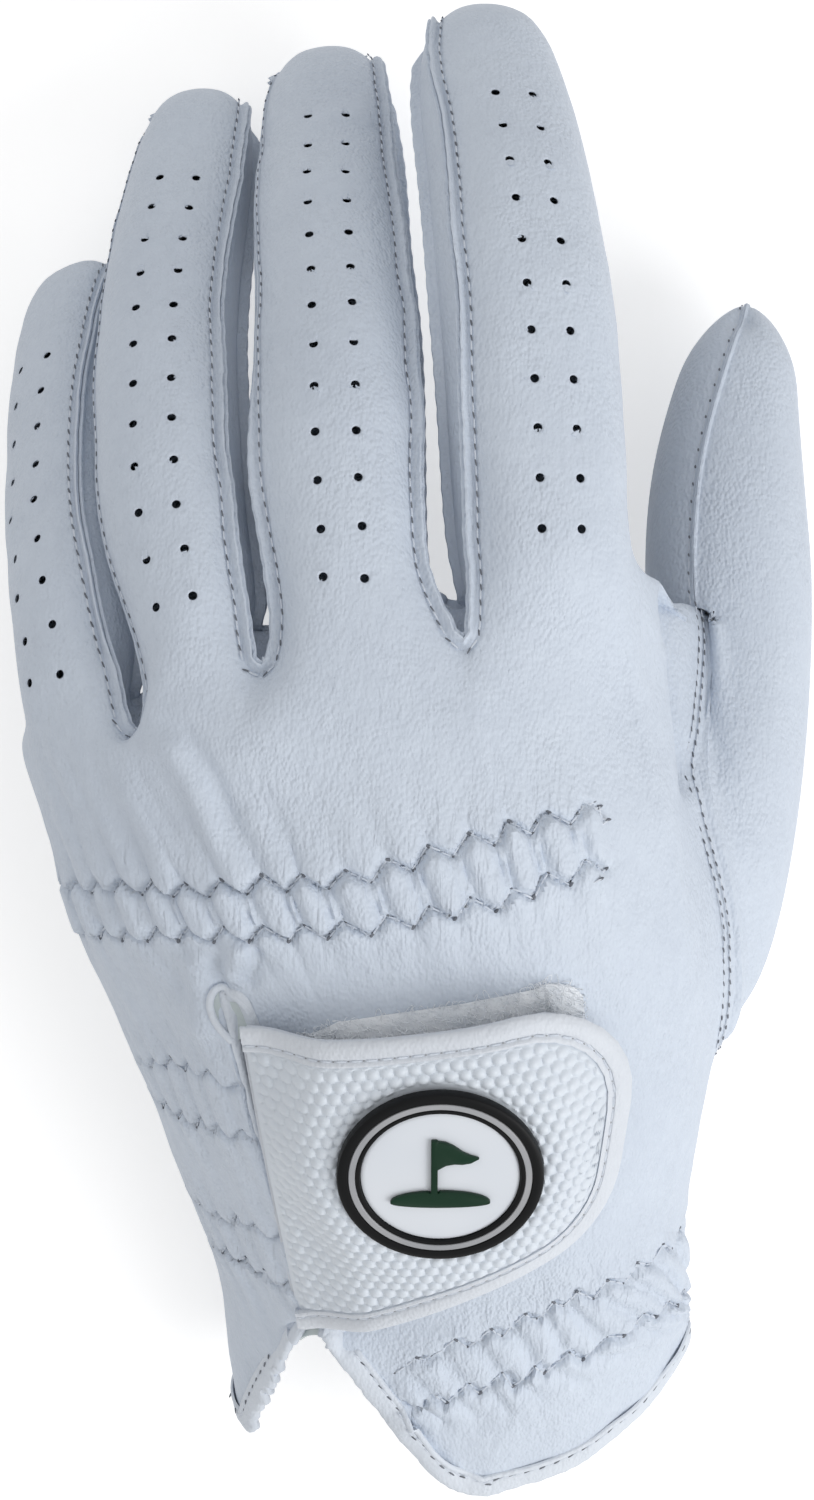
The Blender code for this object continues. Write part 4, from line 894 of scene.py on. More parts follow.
# ---------------------------------------------------------------- cutting the panels
THICKNESS = 0.5 * MM             # of the visible leather
FIN_HEIGHT = 1.35                # mm that a finger seam stands out
SEAM_REACH = 3.0                 # mm of leather that turns towards a seam
TIP_FROM = 25 * MM               # finger tips lie beyond this line
STITCH = 2.0                     # mm from stitch to stitch
FINE = 0.78 * MM                 # longest edge where the leather is gathered
SEAM_FINE = 1.07 * MM            # longest edge beside a seam
OPEN = "open"
THUMB_PANELS = ("thumb_outer_panel", "thumb_inner_panel", "thumb_quirk")


def seam_style(tag, other):
    """How a panel's edge is sewn to its neighbour."""
    pair = {tag, other}
    if other in (OPEN, SLIT_TAG):
        return OPEN
    if pair & set(FOURCHETTES):
        return "fin"
    if pair == {"back_panel", "palm_panel"}:
        return "side"
    if pair == {"thumb_outer_panel", "thumb_inner_panel"}:
        return "welt"
    if tag in THUMB_PANELS and other in THUMB_PANELS:
        return "over" if tag == "thumb_quirk" else "under"
    return "under" if tag in THUMB_PANELS else "over"


# Pull from the seam and lift, in mm, and the rows of a standing edge: (pull, height) in mm.
STYLES = {
    "fin": (0.62, -0.1, ((0.5, 0.4), (0.56, 0.85), (0.54, 1.2), (0.34, FIN_HEIGHT))),
    "side": (0.62, 0.0, ((0.5, 0.3), (0.55, 0.7), (0.36, 0.95))),
    "welt": (0.45, 0.0, ((0.3, 0.16), (0.3, 0.34), (0.06, 0.46))),
    "over": (-0.7, 0.55, ()),
    "under": (0.0, -0.15, ()),
    OPEN: (0.0, 0.0, ()),
}


class Skin:
    """The dense surface as arrays: points, faces, tags, places, normals and seam edges."""

    def __init__(self, item):
        mesh = item.data
        self.points = mesh_points(mesh)
        self.faces = [tuple(f.vertices) for f in mesh.polygons]
        self.tags = [f.material_index for f in mesh.polygons]
        uv = np.empty(len(mesh.loops) * 2)
        mesh.uv_layers["place"].data.foreach_get("uv", uv)
        uv = uv.reshape(-1, 2)
        corner = np.empty(len(mesh.loops), int)
        mesh.loops.foreach_get("vertex_index", corner)
        tag_of_corner = np.repeat(self.tags, [len(f) for f in self.faces])
        self.column = np.full(len(self.points), FAR[0])
        self.ring = np.full(len(self.points), FAR[1])
        for tag in ("palm_panel", SLIT_TAG, "back_panel"):
            chosen = tag_of_corner == TAGS.index(tag)
            self.column[corner[chosen]] = uv[chosen, 0]
            self.ring[corner[chosen]] = uv[chosen, 1]
        self.on_back = np.zeros(len(self.points), bool)
        self.on_back[corner[tag_of_corner == TAGS.index("back_panel")]] = True
        self.sides = {}
        for face, tag in zip(self.faces, self.tags):
            for a, b in zip(face, face[1:] + face[:1]):
                self.sides[(a, b)] = tag
        self.find_normals()

    def find_normals(self):
        normals = np.zeros_like(self.points)
        for count in sorted({len(f) for f in self.faces}):
            group = np.array([f for f in self.faces if len(f) == count])
            corners = self.points[group]
            area = np.cross(corners[:, 1] - corners[:, 0], corners[:, 2] - corners[:, 0])
            for k in range(2, count - 1):
                area += np.cross(corners[:, k] - corners[:, 0], corners[:, k + 1] - corners[:, 0])
            for k in range(count):
                np.add.at(normals, group[:, k], area)
        self.normals = normals / np.maximum(np.linalg.norm(normals, axis=1, keepdims=True), 1e-15)

    def part(self, tag):
        """A part's points by their old numbers, their new numbers, and its faces in new numbers."""
        faces = [f for f, t in zip(self.faces, self.tags) if t == TAGS.index(tag)]
        used = sorted({i for f in faces for i in f})
        index = {old: new for new, old in enumerate(used)}
        return used, index, [tuple(index[i] for i in f) for f in faces]

    def seam_edges(self, tag):
        """Edges of a panel that border another panel or nothing, with the seam's style."""
        number = TAGS.index(tag)
        found = []
        for (a, b), mine in self.sides.items():
            if mine == number and self.sides.get((b, a)) != number:
                other = self.sides.get((b, a))
                style = seam_style(tag, OPEN if other is None else TAGS[other])
                found.append((a, b, style, other))
        return found


def refine(item, gathers):
    """Splits long edges where the leather is gathered, creased or sewn."""
    shape = bmesh.new()
    shape.from_mesh(item.data)
    layer = shape.loops.layers.uv["place"]
    seams = [e.verts[0].co for e in shape.edges
             if len({f.material_index for f in e.link_faces}) > 1]
    tree = tree_of(seams)
    back = TAGS.index("back_panel")
    for round_number in range(3):
        chosen = []
        for edge in shape.edges:
            length = edge.calc_length()
            if length < FINE:
                continue
            face = edge.link_faces[0]
            place = face.loops[0][layer].uv
            wanted = 1.0
            if face.material_index == back:
                middle = (edge.verts[0].co + edge.verts[1].co) / 2
                for gather in gathers:
                    low, high = gather["ends"]
                    top = level_at(gather["upper"], place[0]) - 0.4
                    foot = level_at(gather["lower"], place[0]) + 0.35
                    if low - 0.5 < place[0] < high + 0.5 and top < place[1] < foot:
                        wanted = FINE
                if wanted > FINE and -1 < place[1] < 4.5 and place[0] < 10 and round_number < 1:
                    wanted = SEAM_FINE
                if wanted > FINE and round_number < 1 and length > SEAM_FINE:
                    wanted = SEAM_FINE if tree.find(middle)[2] < 3 * MM else wanted
            elif length > SEAM_FINE and round_number < 1 and tree.find(edge.verts[0].co)[2] < 2.5 * MM:
                wanted = SEAM_FINE
            if length > wanted:
                chosen.append(edge)
        bmesh.ops.subdivide_edges(shape, edges=chosen, cuts=1, use_grid_fill=True)
    shape.to_mesh(item.data)
    shape.free()


def dents(points, scale, height):
    """Soft unevenness of stretched leather, in mm."""
    return np.array([noise.noise(Vector(p) * scale) for p in points]) * height


def drawn_in(gather, column, ring):
    """How much a gather wrinkles the leather near it, from 0 to 1."""
    upper, lower = level_at(gather["upper"], column), level_at(gather["lower"], column)
    away = np.maximum(np.maximum(upper - ring, ring - lower), 0) * gather["ring"]
    first, last = gather["ends"]
    return np.exp(-(away / 7) ** 2) * smooth((column - first + 0.5)) * smooth((last - column + 0.5))


def raise_relief(skin, gathers, arcs):
    """Moves the back's points along their normals by the gathers, creases and the flap's roll."""
    back = skin.on_back
    column, ring = skin.column[back], skin.ring[back]
    x, y = skin.points[back, 0] / MM, skin.points[back, 1] / MM
    height = np.zeros(back.sum())
    skin.strain = np.zeros(len(skin.points))
    for gather, arc in zip(gathers, arcs):
        height += gathered(gather, arc, column, ring)
        skin.strain[back] = np.maximum(skin.strain[back], drawn_in(gather, column, ring))
    up = smooth((skin.normals[back, 2] - 0.1) / 0.3)
    for points, width, swell in CREASES:
        height += up * crease(points, width, swell, x, y)
    height -= tuck(x, y, skin.points[back, 2] / MM)
    height += dents(skin.points[back], 90.0, 0.28) + dents(skin.points[back], 230.0, 0.1)
    flap = (column <= ACROSS + 0.01) & (column > -1.5)
    away = (ACROSS - column) * COLUMN_WIDTH
    start = smooth((ring - APEX_RING + 0.2) / 0.6)
    rise = ROLL_HEIGHT * (1 - np.clip(away / ROLL_WIDTH, 0, 1) ** 2) ** 2
    edge = np.clip(1 - away / ROLL_ROUND, 0, 1)
    rise -= 1.1 * (1 - np.sqrt(1 - np.minimum(edge, 1) ** 2 * 0.98))
    hem = smooth((9.4 - ring) / 1.2)
    height += np.where(flap, rise * start * hem, 0)
    moved = skin.normals[back] * height[:, None] * MM
    sideways = np.where(flap, FLAP_REACH * start * smooth(1 - away / 6) * hem, 0) * MM
    moved[:, 0] += sideways
    skin.points[back] += moved


def chains(edges):
    """Ordered runs of directed edges."""
    after = {}
    for a, b in edges:
        after.setdefault(a, []).append(b)
    starts = set(after) - {b for _, b in edges}
    runs = []
    while after:
        open_starts = [a for a in starts if a in after]
        here = min(open_starts) if open_starts else min(after)
        run = [here]
        while here in after:
            there = after[here].pop()
            if not after[here]:
                del after[here]
            run.append(there)
            here = there
        runs.append(run)
    return runs


def cut_panel(skin, tag):
    """One leather panel with its edges turned for sewing, as arrays for add_fins and make_panel."""
    used, index, faces = skin.part(tag)
    points = skin.points[used].copy()
    normals = skin.normals[used]
    edges = [(index[a], index[b], style, other) for a, b, style, other in skin.seam_edges(tag)]
    centre = {}
    borders = {(a, b) for a, b, _, _ in edges}
    for face in faces:
        for a, b in zip(face, face[1:] + face[:1]):
            if (a, b) in borders:
                centre[(a, b)] = points[list(face)].mean(axis=0)
    inward = {}
    style_of = {}
    order = list(STYLES)
    for a, b, style, _ in edges:
        along = unit(points[b] - points[a])
        toward = centre[(a, b)] - points[a]
        toward = unit(toward - along * toward.dot(along))
        for i in (a, b):
            inward[i] = inward.get(i, 0) + toward
            if i not in style_of or order.index(style) < order.index(style_of[i]):
                style_of[i] = style
    rim = sorted(i for i in inward if style_of[i] != OPEN)
    flat = flat_share(points, edges, rim)
    inward = {i: unit(v - normals[i] * v.dot(normals[i])) for i, v in inward.items()}
    base = points.copy()
    if rim:
        tree = tree_of([points[i] for i in rim])
        for i in range(len(points)):
            _, k, away = tree.find(base[i])
            if away < SEAM_REACH * MM:
                weight = (1 - away / MM / SEAM_REACH) ** 2
                near = rim[k]
                pull, lift = STYLES[style_of[near]][:2]
                points[i] += (inward[near] * pull * flat[near] + normals[near] * lift) * weight * MM
            if tag == "thumb_outer_panel" and style_of[rim[k]] == "under":
                swell = math.exp(-((away / MM - 1.7) / 1.1) ** 2)
                points[i] += normals[i] * swell * MM
    ends = [base[i] for i in rim if sum((i in (a, b)) for a, b, s, _ in edges if STYLES[s][2]) == 1]
    height = np.where(skin.on_back[used], fin_share(skin.column[used], skin.ring[used]), 1.0)
    return points, faces, normals, base, edges, inward, height, ends, flat, skin.strain[used]


def flat_share(points, edges, rim):
    """How far each point of a sewn edge is pulled back: little where three panels meet at a tip."""
    others = {}
    for a, b, _, other in edges:
        for i in (a, b):
            others.setdefault(i, set()).add(other)
    meetings = [points[i] for i, found in others.items() if len(found) > 1 and points[i][1] > TIP_FROM]
    flat = {}
    for i in rim:
        away = min([1.0] + [np.linalg.norm(points[i] - p) / (6 * MM) for p in meetings])
        flat[i] = 0.25 + 0.75 * float(smooth(away))
    return flat


def fin_share(column, ring):
    """How high the seams stand: low where a finger rests on its neighbour."""
    ring_finger = (np.abs(column - 5) < 0.1) * smooth((-ring - 0.5) / 2)
    middle_finger = (np.abs(column - 10) < 0.1) * smooth((-ring - 3) / 1.5)
    return 1 - 0.75 * np.maximum(ring_finger, middle_finger)


def add_fins(points, faces, normals, base, edges, inward, share, ends, flat):
    """Standing seam edges along the panel's border."""
    points = list(points)
    rows = {}

    def row(i, style):
        if (i, style) not in rows:
            taper = share[i] * min([1.0] + [max(0.1, np.linalg.norm(base[i] - e) / (9 * MM)) for e in ends])
            ripple = 1 + 0.05 * math.sin(base[i][1] / MM * 2.1) + 0.04 * math.sin(base[i][0] / MM * 3.3)
            numbers = [i]
            for pull, height in STYLES[style][2]:
                numbers.append(len(points))
                out = inward[i] * pull + normals[i] * height * taper * ripple
                points.append(base[i] + out * flat[i] * MM)
            rows[(i, style)] = numbers
        return rows[(i, style)]

    for a, b, style, _ in edges:
        if STYLES[style][2]:
            one, two = row(a, style), row(b, style)
            for k in range(len(one) - 1):
                faces.append((two[k], one[k], one[k + 1], two[k + 1]))
    return points


def make_panel(skin, tag, holes=()):
    """A leather panel's piece, and the runs of its seams by style: (point, normal, inward) lists."""
    points, faces, normals, base, edges, inward, height, ends, flat, pulled = cut_panel(skin, tag)
    seams = {}
    for style in STYLES:
        runs = chains([(a, b) for a, b, s, _ in edges if s == style])
        seams[style] = [[(base[i], normals[i], inward[i]) for i in run] for run in runs]
    points = add_fins(points, faces, normals, base, edges, inward, height, ends, flat)
    mesh = bpy.data.meshes.new(tag + "_leather")
    mesh.from_pydata([tuple(p) for p in points], [], faces)
    strain = mesh.attributes.new("strain", "FLOAT", "POINT")
    values = np.zeros(len(mesh.vertices), np.float32)
    values[:len(pulled)] = pulled
    strain.data.foreach_set("value", values)
    item = new_object(tag + "_leather", mesh)
    if holes:
        pierce(item, holes)
    return item, seams


# ---------------------------------------------------------------- vent holes
HOLE_PITCH = 6.5                 # mm from pair to pair
HOLE_SPREAD = 2.6                # mm from the middle of the finger to each hole
HOLE_RADIUS = 0.57
HOLE_LIP = ((0.84, -0.02), (0.66, 0.03), (HOLE_RADIUS, 0.14))      # (radius, depth) in mm
HOLE_SIDES = 16
HOLE_ROWS = {"little": (9, (-45.6, 6.0)), "ring": (12, (-30.0, 15.8)), "middle": (13, (-8.0, 18.2)),
             "index": (11, (19.5, 24.4))}      # pairs on each finger, and where each row starts


def hole_places(skin):
    """Middle and normal of each vent hole, walking out along the crest of each finger."""
    number = np.nonzero(skin.on_back)[0]
    tree = tree_of(skin.points[number])
    places = []
    for name, (pairs, start) in HOLE_ROWS.items():
        path = [mm((*start, FINGERS[name][0][0][2]))] + [mm(s[0]) for s in FINGERS[name]]
        reach = path_lengths(path)[1]
        for pair in range(pairs):
            at = (pair + 0.5) * HOLE_PITCH * MM
            here = path_point(at, reach, path)
            ahead = path_point(at + MM, reach, path) - here
            k = number[tree.find(here)[1]]
            across = unit(np.cross(ahead, skin.normals[k]))
            for side in (-1, 1):
                spot = here + across * side * HOLE_SPREAD * MM
                i = number[tree.find(spot)[1]]
                facing = skin.normals[i]
                places.append((spot - facing * (spot - skin.points[i]).dot(facing), facing))
    return places


def around(doomed, middle, side, other):
    """The border of some faces, walked counter-clockwise: (angle about the middle, point) pairs."""
    after = {}
    for face in doomed:
        corners = list(face.verts)
        for one, two in zip(corners, corners[1:] + corners[:1]):
            after[(one, two)] = face
    step = {one: two for one, two in after if (two, one) not in after}
    here = min(step, key=lambda v: math.atan2((v.co - middle).dot(other), (v.co - middle).dot(side)))
    found, first, last = [], here, -math.pi
    while here is not first or not found:
        away = here.co - middle
        angle = math.atan2(away.dot(other), away.dot(side))
        while angle < last - math.pi:
            angle += 2 * math.pi
        last = max(angle, last)
        found.append((last, here))
        here = step[here]
    return found


def join_loops(shape, outer, inner):
    """Triangles between two loops about one middle, each given as (angle, point) in order."""
    i = j = 0
    while i < len(outer) or j < len(inner):
        turn = 2 * math.pi
        next_outer = outer[(i + 1) % len(outer)][0] + turn * ((i + 1) // len(outer))
        next_inner = inner[(j + 1) % len(inner)][0] + turn * ((j + 1) // len(inner))
        a, b = outer[i % len(outer)][1], inner[j % len(inner)][1]
        if j >= len(inner) or (i < len(outer) and next_outer < next_inner):
            shape.faces.new((a, outer[(i + 1) % len(outer)][1], b))
            i += 1
        else:
            shape.faces.new((a, inner[(j + 1) % len(inner)][1], b))
            j += 1


def pierce(item, holes):
    """Cuts the vent holes: a clean ring of edges with a rounded lip in place of the leather."""
    shape = bmesh.new()
    shape.from_mesh(item.data)
    for middle, facing in holes:
        middle, facing = Vector(middle), Vector(facing)
        near = [v for v in shape.verts if (v.co - middle).length < 1.25 * MM]
        doomed = {f for v in near for f in v.link_faces
                  if (f.calc_center_median() - middle).length < 1.6 * MM}
        if not doomed:
            continue
        side = facing.orthogonal().normalized()
        other = facing.cross(side)
        loops = [around(doomed, middle, side, other)]
        bmesh.ops.delete(shape, geom=list(doomed), context="FACES")
        for radius, depth in HOLE_LIP:
            loop = []
            for k in range(HOLE_SIDES):
                angle = 2 * math.pi * (k + 0.5) / HOLE_SIDES - math.pi
                out = side * math.cos(angle) + other * math.sin(angle)
                loop.append((angle, shape.verts.new(middle + out * radius * MM - facing * depth * MM)))
            loops.append(loop)
        for outer, inner in zip(loops, loops[1:]):
            join_loops(shape, outer, inner)
    shape.to_mesh(item.data)
    shape.free()


# ---------------------------------------------------------------- trim: threads, bindings, pile
def polygon_mesh(name, points, faces):
    mesh = bpy.data.meshes.new(name)
    mesh.from_pydata([tuple(p) for p in points], [], faces)
    return new_object(name, mesh)


def face_outward(item, merge=0.0):
    """Turns the faces of a closed piece outward, after points closer than merge are joined."""
    shape = bmesh.new()
    shape.from_mesh(item.data)
    if merge:
        bmesh.ops.remove_doubles(shape, verts=shape.verts, dist=merge)
    bmesh.ops.recalc_face_normals(shape, faces=shape.faces)
    shape.to_mesh(item.data)
    shape.free()
    return item


def closed_plate(name, top, under, wide, turned=False):
    """A closed plate from its upper and lower points, given line by line, wide points to a line."""
    count = len(top)
    starts = [i * wide + j for i in range(count // wide - 1) for j in range(wide - 1)]
    faces = [(a, a + wide, a + wide + 1, a + 1) if turned else (a, a + 1, a + wide + 1, a + wide)
             for a in starts]
    edges = {(f[k], f[(k + 1) % 4]) for f in faces for k in range(4)}
    rim = [(b, a, a + count, b + count) for a, b in edges if (b, a) not in edges]
    turned_over = [tuple(i + count for i in reversed(f)) for f in faces]
    return polygon_mesh(name, top + under, faces + turned_over + rim)


def band(name, rows):
    """A closed band from rows of points round its cross-section, one row per place along it."""
    count, wide = len(rows), len(rows[0])
    faces = [(i * wide + k, i * wide + (k + 1) % wide, (i + 1) * wide + (k + 1) % wide, (i + 1) * wide + k)
             for i in range(count - 1) for k in range(wide)]
    faces.append(tuple(range(wide - 1, -1, -1)))
    faces.append(tuple((count - 1) * wide + k for k in range(wide)))
    return face_outward(polygon_mesh(name, [p for row in rows for p in row], faces))


def beside(path, facing):
    """Directions square to a path and to its facing."""
    outward = np.cross(np.gradient(path, axis=0), facing)
    return outward / np.linalg.norm(outward, axis=1, keepdims=True)


class Threads:
    """Many short round-ended threads gathered in one mesh."""

    SIDES = 6

    def __init__(self):
        self.points = []
        self.faces = []

    def add(self, a, b, radius, flat, up):
        along = unit(b - a)
        side = unit(np.cross(along, up))
        other = np.cross(side, along)
        first = len(self.points)
        length = np.linalg.norm(b - a)
        for share, swell in ((0.0, 0.55), (0.22, 1.0), (0.78, 1.0), (1.0, 0.55)):
            for k in range(self.SIDES):
                angle = 2 * math.pi * k / self.SIDES
                out = side * math.cos(angle) + other * math.sin(angle) * flat
                self.points.append(a + along * length * share + out * radius * swell)
        self.points.append(a - along * radius * 0.5)
        self.points.append(b + along * radius * 0.5)
        count = self.SIDES
        for k in range(count):
            j = (k + 1) % count
            for ring in range(3):
                low, high = first + ring * count, first + (ring + 1) * count
                self.faces.append((low + j, low + k, high + k, high + j))
            self.faces.append((first + k, first + j, first + 4 * count))
            self.faces.append((first + 3 * count + j, first + 3 * count + k, first + 4 * count + 1))

    def make(self, name):
        return polygon_mesh(name, self.points, self.faces)


def walk(points, pitch):
    """Places at an even pitch along a path: (index, share of the step)."""
    steps, reach = path_lengths(points)
    count = int(reach[-1] / pitch)
    places = []
    for k in range(count):
        at = (k + 0.5) * reach[-1] / count
        i = max(min(int(np.searchsorted(reach, at)) - 1, len(steps) - 1), 0)
        places.append((i, (at - reach[i]) / max(steps[i], 1e-9)))
    return places


def along_run(run, place, shift):
    """Point on a seam run, shifted by (pull, height) in mm, with the run's direction there."""
    i, share = place
    (a, na, ia), (b, nb, ib) = run[i], run[i + 1]
    point = a + (b - a) * share
    facing, inward = unit(na + (nb - na) * share), unit(ia + (ib - ia) * share)
    return point + (inward * shift[0] + facing * shift[1]) * MM, unit(b - a), facing, inward


def sew(threads, shade_pits, run, shift, pitch=STITCH, radius=0.14, slant=0.25, length=0.6, dash=0.42):
    """A row of stitches along a seam run, with a dark capsule between each pair as painted shade in the
    needle slit.
    """
    points = np.array([r[0] for r in run])
    for place in walk(points, pitch * MM)[1:-1]:
        here, along, facing, inward = along_run(run, place, shift)
        reach = along * pitch * length / 2 * MM
        threads.add(here - reach - inward * radius * 0.3 * MM, here + reach, radius * MM, 0.7, facing)
        # A dark capsule across the needle slit: painted shade where the thread goes into the leather.
        slit = here + along * pitch / 2 * MM
        tilt = (along + inward * slant) * dash * MM
        shade_pits.add(slit - tilt, slit + tilt, 0.13 * MM, 0.8, facing)


def sweep(name, path, normals, outward, profile, ragged=None):
    """A band of fixed cross-section along a path; profile is (outward, up) in mm, closed."""
    rows = []
    for i, (place, facing, out) in enumerate(zip(path, normals, outward)):
        edges = [ragged[i] if ragged is not None and w > RAGGED_FROM else 0.0 for w, _ in profile]
        rows.append([place + (out * (w + edge) + facing * h) * MM for (w, h), edge in zip(profile, edges)])
    return band(name, rows)


RAGGED_FROM = -0.3               # mm, where a binding's raw edge begins
PILE_BAND = ((6.3, 15.6), (4.6, 3.9), (7.5, 6.2))     # columns, front rings and rear rings
PILE_WIDE, PILE_DEEP = 90, 60    # steps across and down the pile
FIBRE_ROWS = 12                  # steps from the pile's edge that carry fibres
FIBRE_STEPS = 5
FIBRE_RADIUS = 0.055 * MM


class Ground:
    """The finished back of the glove, to lay threads on."""

    def __init__(self, skin):
        back = TAGS.index("back_panel")
        faces = [f for f, tag in zip(skin.faces, skin.tags) if tag == back]
        self.tree = BVHTree.FromPolygons([Vector(p) for p in skin.points], faces)

    def at(self, point):
        spot, facing, _, _ = self.tree.find_nearest(Vector(point))
        return np.array(spot), np.array(facing)


def sew_gathers(surface, hand, arcs, ground, threads, shade_pits):
    """Zigzag stitches in the valleys of every gather, with a dark capsule at each corner as painted shade in
    the needle hole.
    """
    for gather, arc in zip(GATHERS, arcs):
        for low_row in (False, True):
            corners = gather_line(surface, hand, gather, arc, low_row)
            for (a, up), (b, _) in zip(corners, corners[1:]):
                if np.linalg.norm(b - a) > 6 * MM:
                    continue
                ways = []
                for first, last in ((0.06, 0.46), (0.54, 0.94)):
                    one, facing = ground.at(a + (b - a) * first)
                    two, _ = ground.at(a + (b - a) * last)
                    threads.add(one + facing * 0.1 * MM, two + facing * 0.1 * MM, 0.13 * MM, 0.7, facing)
                    ways.append(unit(two - one))
                along = ways[0]
                deep = 0.5 if up == 1 else 0.24
                hole, facing = ground.at(a)
                # A dark capsule at the corner: painted shade in the needle hole.
                shade_pits.add(hole - along * deep * 0.5 * MM - facing * 0.05 * MM,
                         hole + along * deep * MM, (0.1 + deep * 0.3) * MM, 0.8, facing)


def tack(ground, place, threads, shade_pits, chance):
    """Where a row of stitches ends: a small knot of crossing stitches, with dark capsules as painted shade
    in their needle holes.
    """
    for _ in range(9):
        at = mm(place) + np.array([chance.uniform(-0.9, 0.9), chance.uniform(-1.5, 1.5), 0]) * MM
        spot, facing = ground.at(at)
        turn = chance.uniform(0, math.pi)
        along = unit(np.array([math.cos(turn), math.sin(turn), 0.0]))
        half = along * 0.6 * MM
        threads.add(spot - half + facing * 0.12 * MM, spot + half + facing * 0.1 * MM, 0.15 * MM, 0.8,
                    facing)
        # A dark capsule beside each stitch: painted shade in its needle hole.
        shade_pits.add(spot + along * 0.35 * MM, spot + along * 0.95 * MM, 0.2 * MM, 0.8, facing)


HEM_SEED = 11
BAND_STEP = 0.7 * MM             # from one cross-section of a binding to the next
HEM_BAND = ((-3.0, 0.06), (-2.95, 0.36), (-2.6, 0.5), (-2.3, 0.42), (-2.15, 0.3), (-2.0, 0.42), (-1.5, 0.52),
            (-0.6, 0.52), (0.1, 0.42), (0.5, 0.15), (0.62, -0.28), (0.5, -0.7), (0.1, -0.96), (-1.4, -1.02),
            (-2.2, -0.96), (-2.3, -0.62), (-0.1, -0.6), (-0.1, 0.04))
SLIT_BAND = ((-0.9, 0.05), (-0.8, 0.3), (-0.2, 0.4), (0.5, 0.34), (1.0, 0.1), (1.15, -0.3), (0.9, -0.75),
             (0.2, -0.95), (-0.9, -0.88), (-1.0, -0.6), (-0.05, -0.58), (-0.05, 0.03))
ROUND_BAND = [(0.52 * math.cos(0.7 * k), 0.25 + 0.42 * math.sin(0.7 * k)) for k in range(9)]
# The loop of binding at the top of the slit, in mm: a drop-shaped path on the back of the glove.
SLIT_LOOP = ((-19.9, -36.4), (-20.6, -34.3), (-21.1, -32.2), (-21.8, -30.6), (-23.1, -29.8), (-24.4, -30.3),
             (-25.0, -31.7), (-24.7, -33.4), (-23.7, -35.2), (-22.1, -36.9))


def open_run(skin, beside_slit):
    """The longest open edge of the leather: the hem's, or the one beside the slit."""
    edges = [(a, b) for tag in ("back_panel", "palm_panel") for a, b, style, other in skin.seam_edges(tag)
             if style == OPEN and (other is not None) == beside_slit]
    return max(chains(edges), key=len)


def band_along(skin, run, name, profile, ragged=None):
    """A folded binding over an open edge of the leather."""
    points, normals = skin.points[run], skin.normals[run]
    reach = path_lengths(points)[1]
    at = np.linspace(0, reach[-1], int(round(reach[-1] / BAND_STEP)) + 1)
    place, facing = path_point(at, reach, points), path_point(at, reach, normals)
    outward = beside(place, facing)
    facing /= np.linalg.norm(facing, axis=1, keepdims=True)
    softened(place, 2)
    edge = None
    if ragged:
        chance = random.Random(HEM_SEED)
        edge = [chance.uniform(-1, 0.6) * ragged(p / MM) for p in place]
    return sweep(name, place, facing, outward, profile, edge), (place, facing, outward)


def hem_ragged(place):
    """How uneven the hem's edge is, in mm: raw on the flap, nearly clean elsewhere."""
    return 0.75 if place[0] < -10 and place[2] > 8 else 0.14


def slit_underlay(skin):
    """Leather seen through the top of the slit."""
    used, _, faces = skin.part(SLIT_TAG)
    return polygon_mesh("slit_underlay", skin.points[used] - skin.normals[used] * 1.1 * MM, faces)


def slit_loop(ground):
    """The drop-shaped loop of binding and the pale lining inside it."""
    path = [through([(*p, 0) for p in SLIT_LOOP], k / 40)[:2] * MM for k in range(41)]
    laid = [ground.at((*p, 60 * MM)) for p in path]
    place = softened(np.array([spot for spot, _ in laid]), 3)
    facing = np.array([0.0, -0.3, 0.95])
    loop = sweep("slit_loop_binding", place, [facing] * len(place), beside(place, facing), ROUND_BAND)
    middle = place.mean(axis=0) - facing * 0.35 * MM
    points, faces = [middle], []
    for share in (0.4, 0.75, 1.0):
        points += list(middle + (place - middle) * share + facing * 0.1 * share * MM)
    count = len(place)
    for k in range(count):
        j = (k + 1) % count
        faces.append((0, 1 + k, 1 + j))
        for ring in range(2):
            faces.append((1 + ring * count + k, 1 + (ring + 1) * count + k, 1 + (ring + 1) * count + j,
                          1 + ring * count + j))
    lining = polygon_mesh("slit_loop_lining", points, faces)
    shape = bmesh.new()
    shape.from_mesh(lining.data)
    bmesh.ops.recalc_face_normals(shape, faces=shape.faces)
    if sum(f.normal.z for f in shape.faces) < 0:
        bmesh.ops.reverse_faces(shape, faces=shape.faces[:])
    shape.to_mesh(lining.data)
    shape.free()
    return loop, lining


def pile_patch(skin, surface, hand):
    """The looped half of the touch fastener, which follows the back of the hand."""
    number = np.nonzero(skin.on_back)[0]
    tree = tree_of(skin.points[number])
    columns, front, rear = PILE_BAND
    top, under = [], []
    for row in range(PILE_DEEP + 1):
        for step in range(PILE_WIDE + 1):
            share = step / PILE_WIDE
            start = front[0] + (front[1] - front[0]) * share
            end = rear[0] + (rear[1] - rear[0]) * share
            corner = 0.1 * math.sqrt(max(0.0, 1 - ((share - 0.9) / 0.1) ** 2)) if share > 0.9 else 0.1
            level = max(row / PILE_DEEP, 0.1 - corner)
            drawn = grid_point(surface, hand, columns[0] + share * (columns[1] - columns[0]),
                               start + (end - start) * level)
            found = [(number[k], away) for _, k, away in tree.find_n(Vector(drawn), 4)]
            weight = np.array([1 / (away + 0.2 * MM) for _, away in found])
            facing = unit(sum(w * skin.normals[i] for (i, _), w in zip(found, weight)))
            i = found[0][0]
            place = drawn - facing * (drawn - skin.points[i]).dot(facing)
            edge = min(step, PILE_WIDE - step, row, PILE_DEEP - row)
            thick = (0.05, 0.2, 0.35, 0.4)[min(edge, 3)] + 0.12 * noise.noise(Vector(drawn) * 900)
            top.append(place + facing * (0.2 + thick) * MM)
            under.append(place + facing * 0.1 * MM)
    item = closed_plate("loop_pile_base", top, under, PILE_WIDE + 1, turned=True)
    return item, np.array(top).reshape(PILE_DEEP + 1, PILE_WIDE + 1, 3)


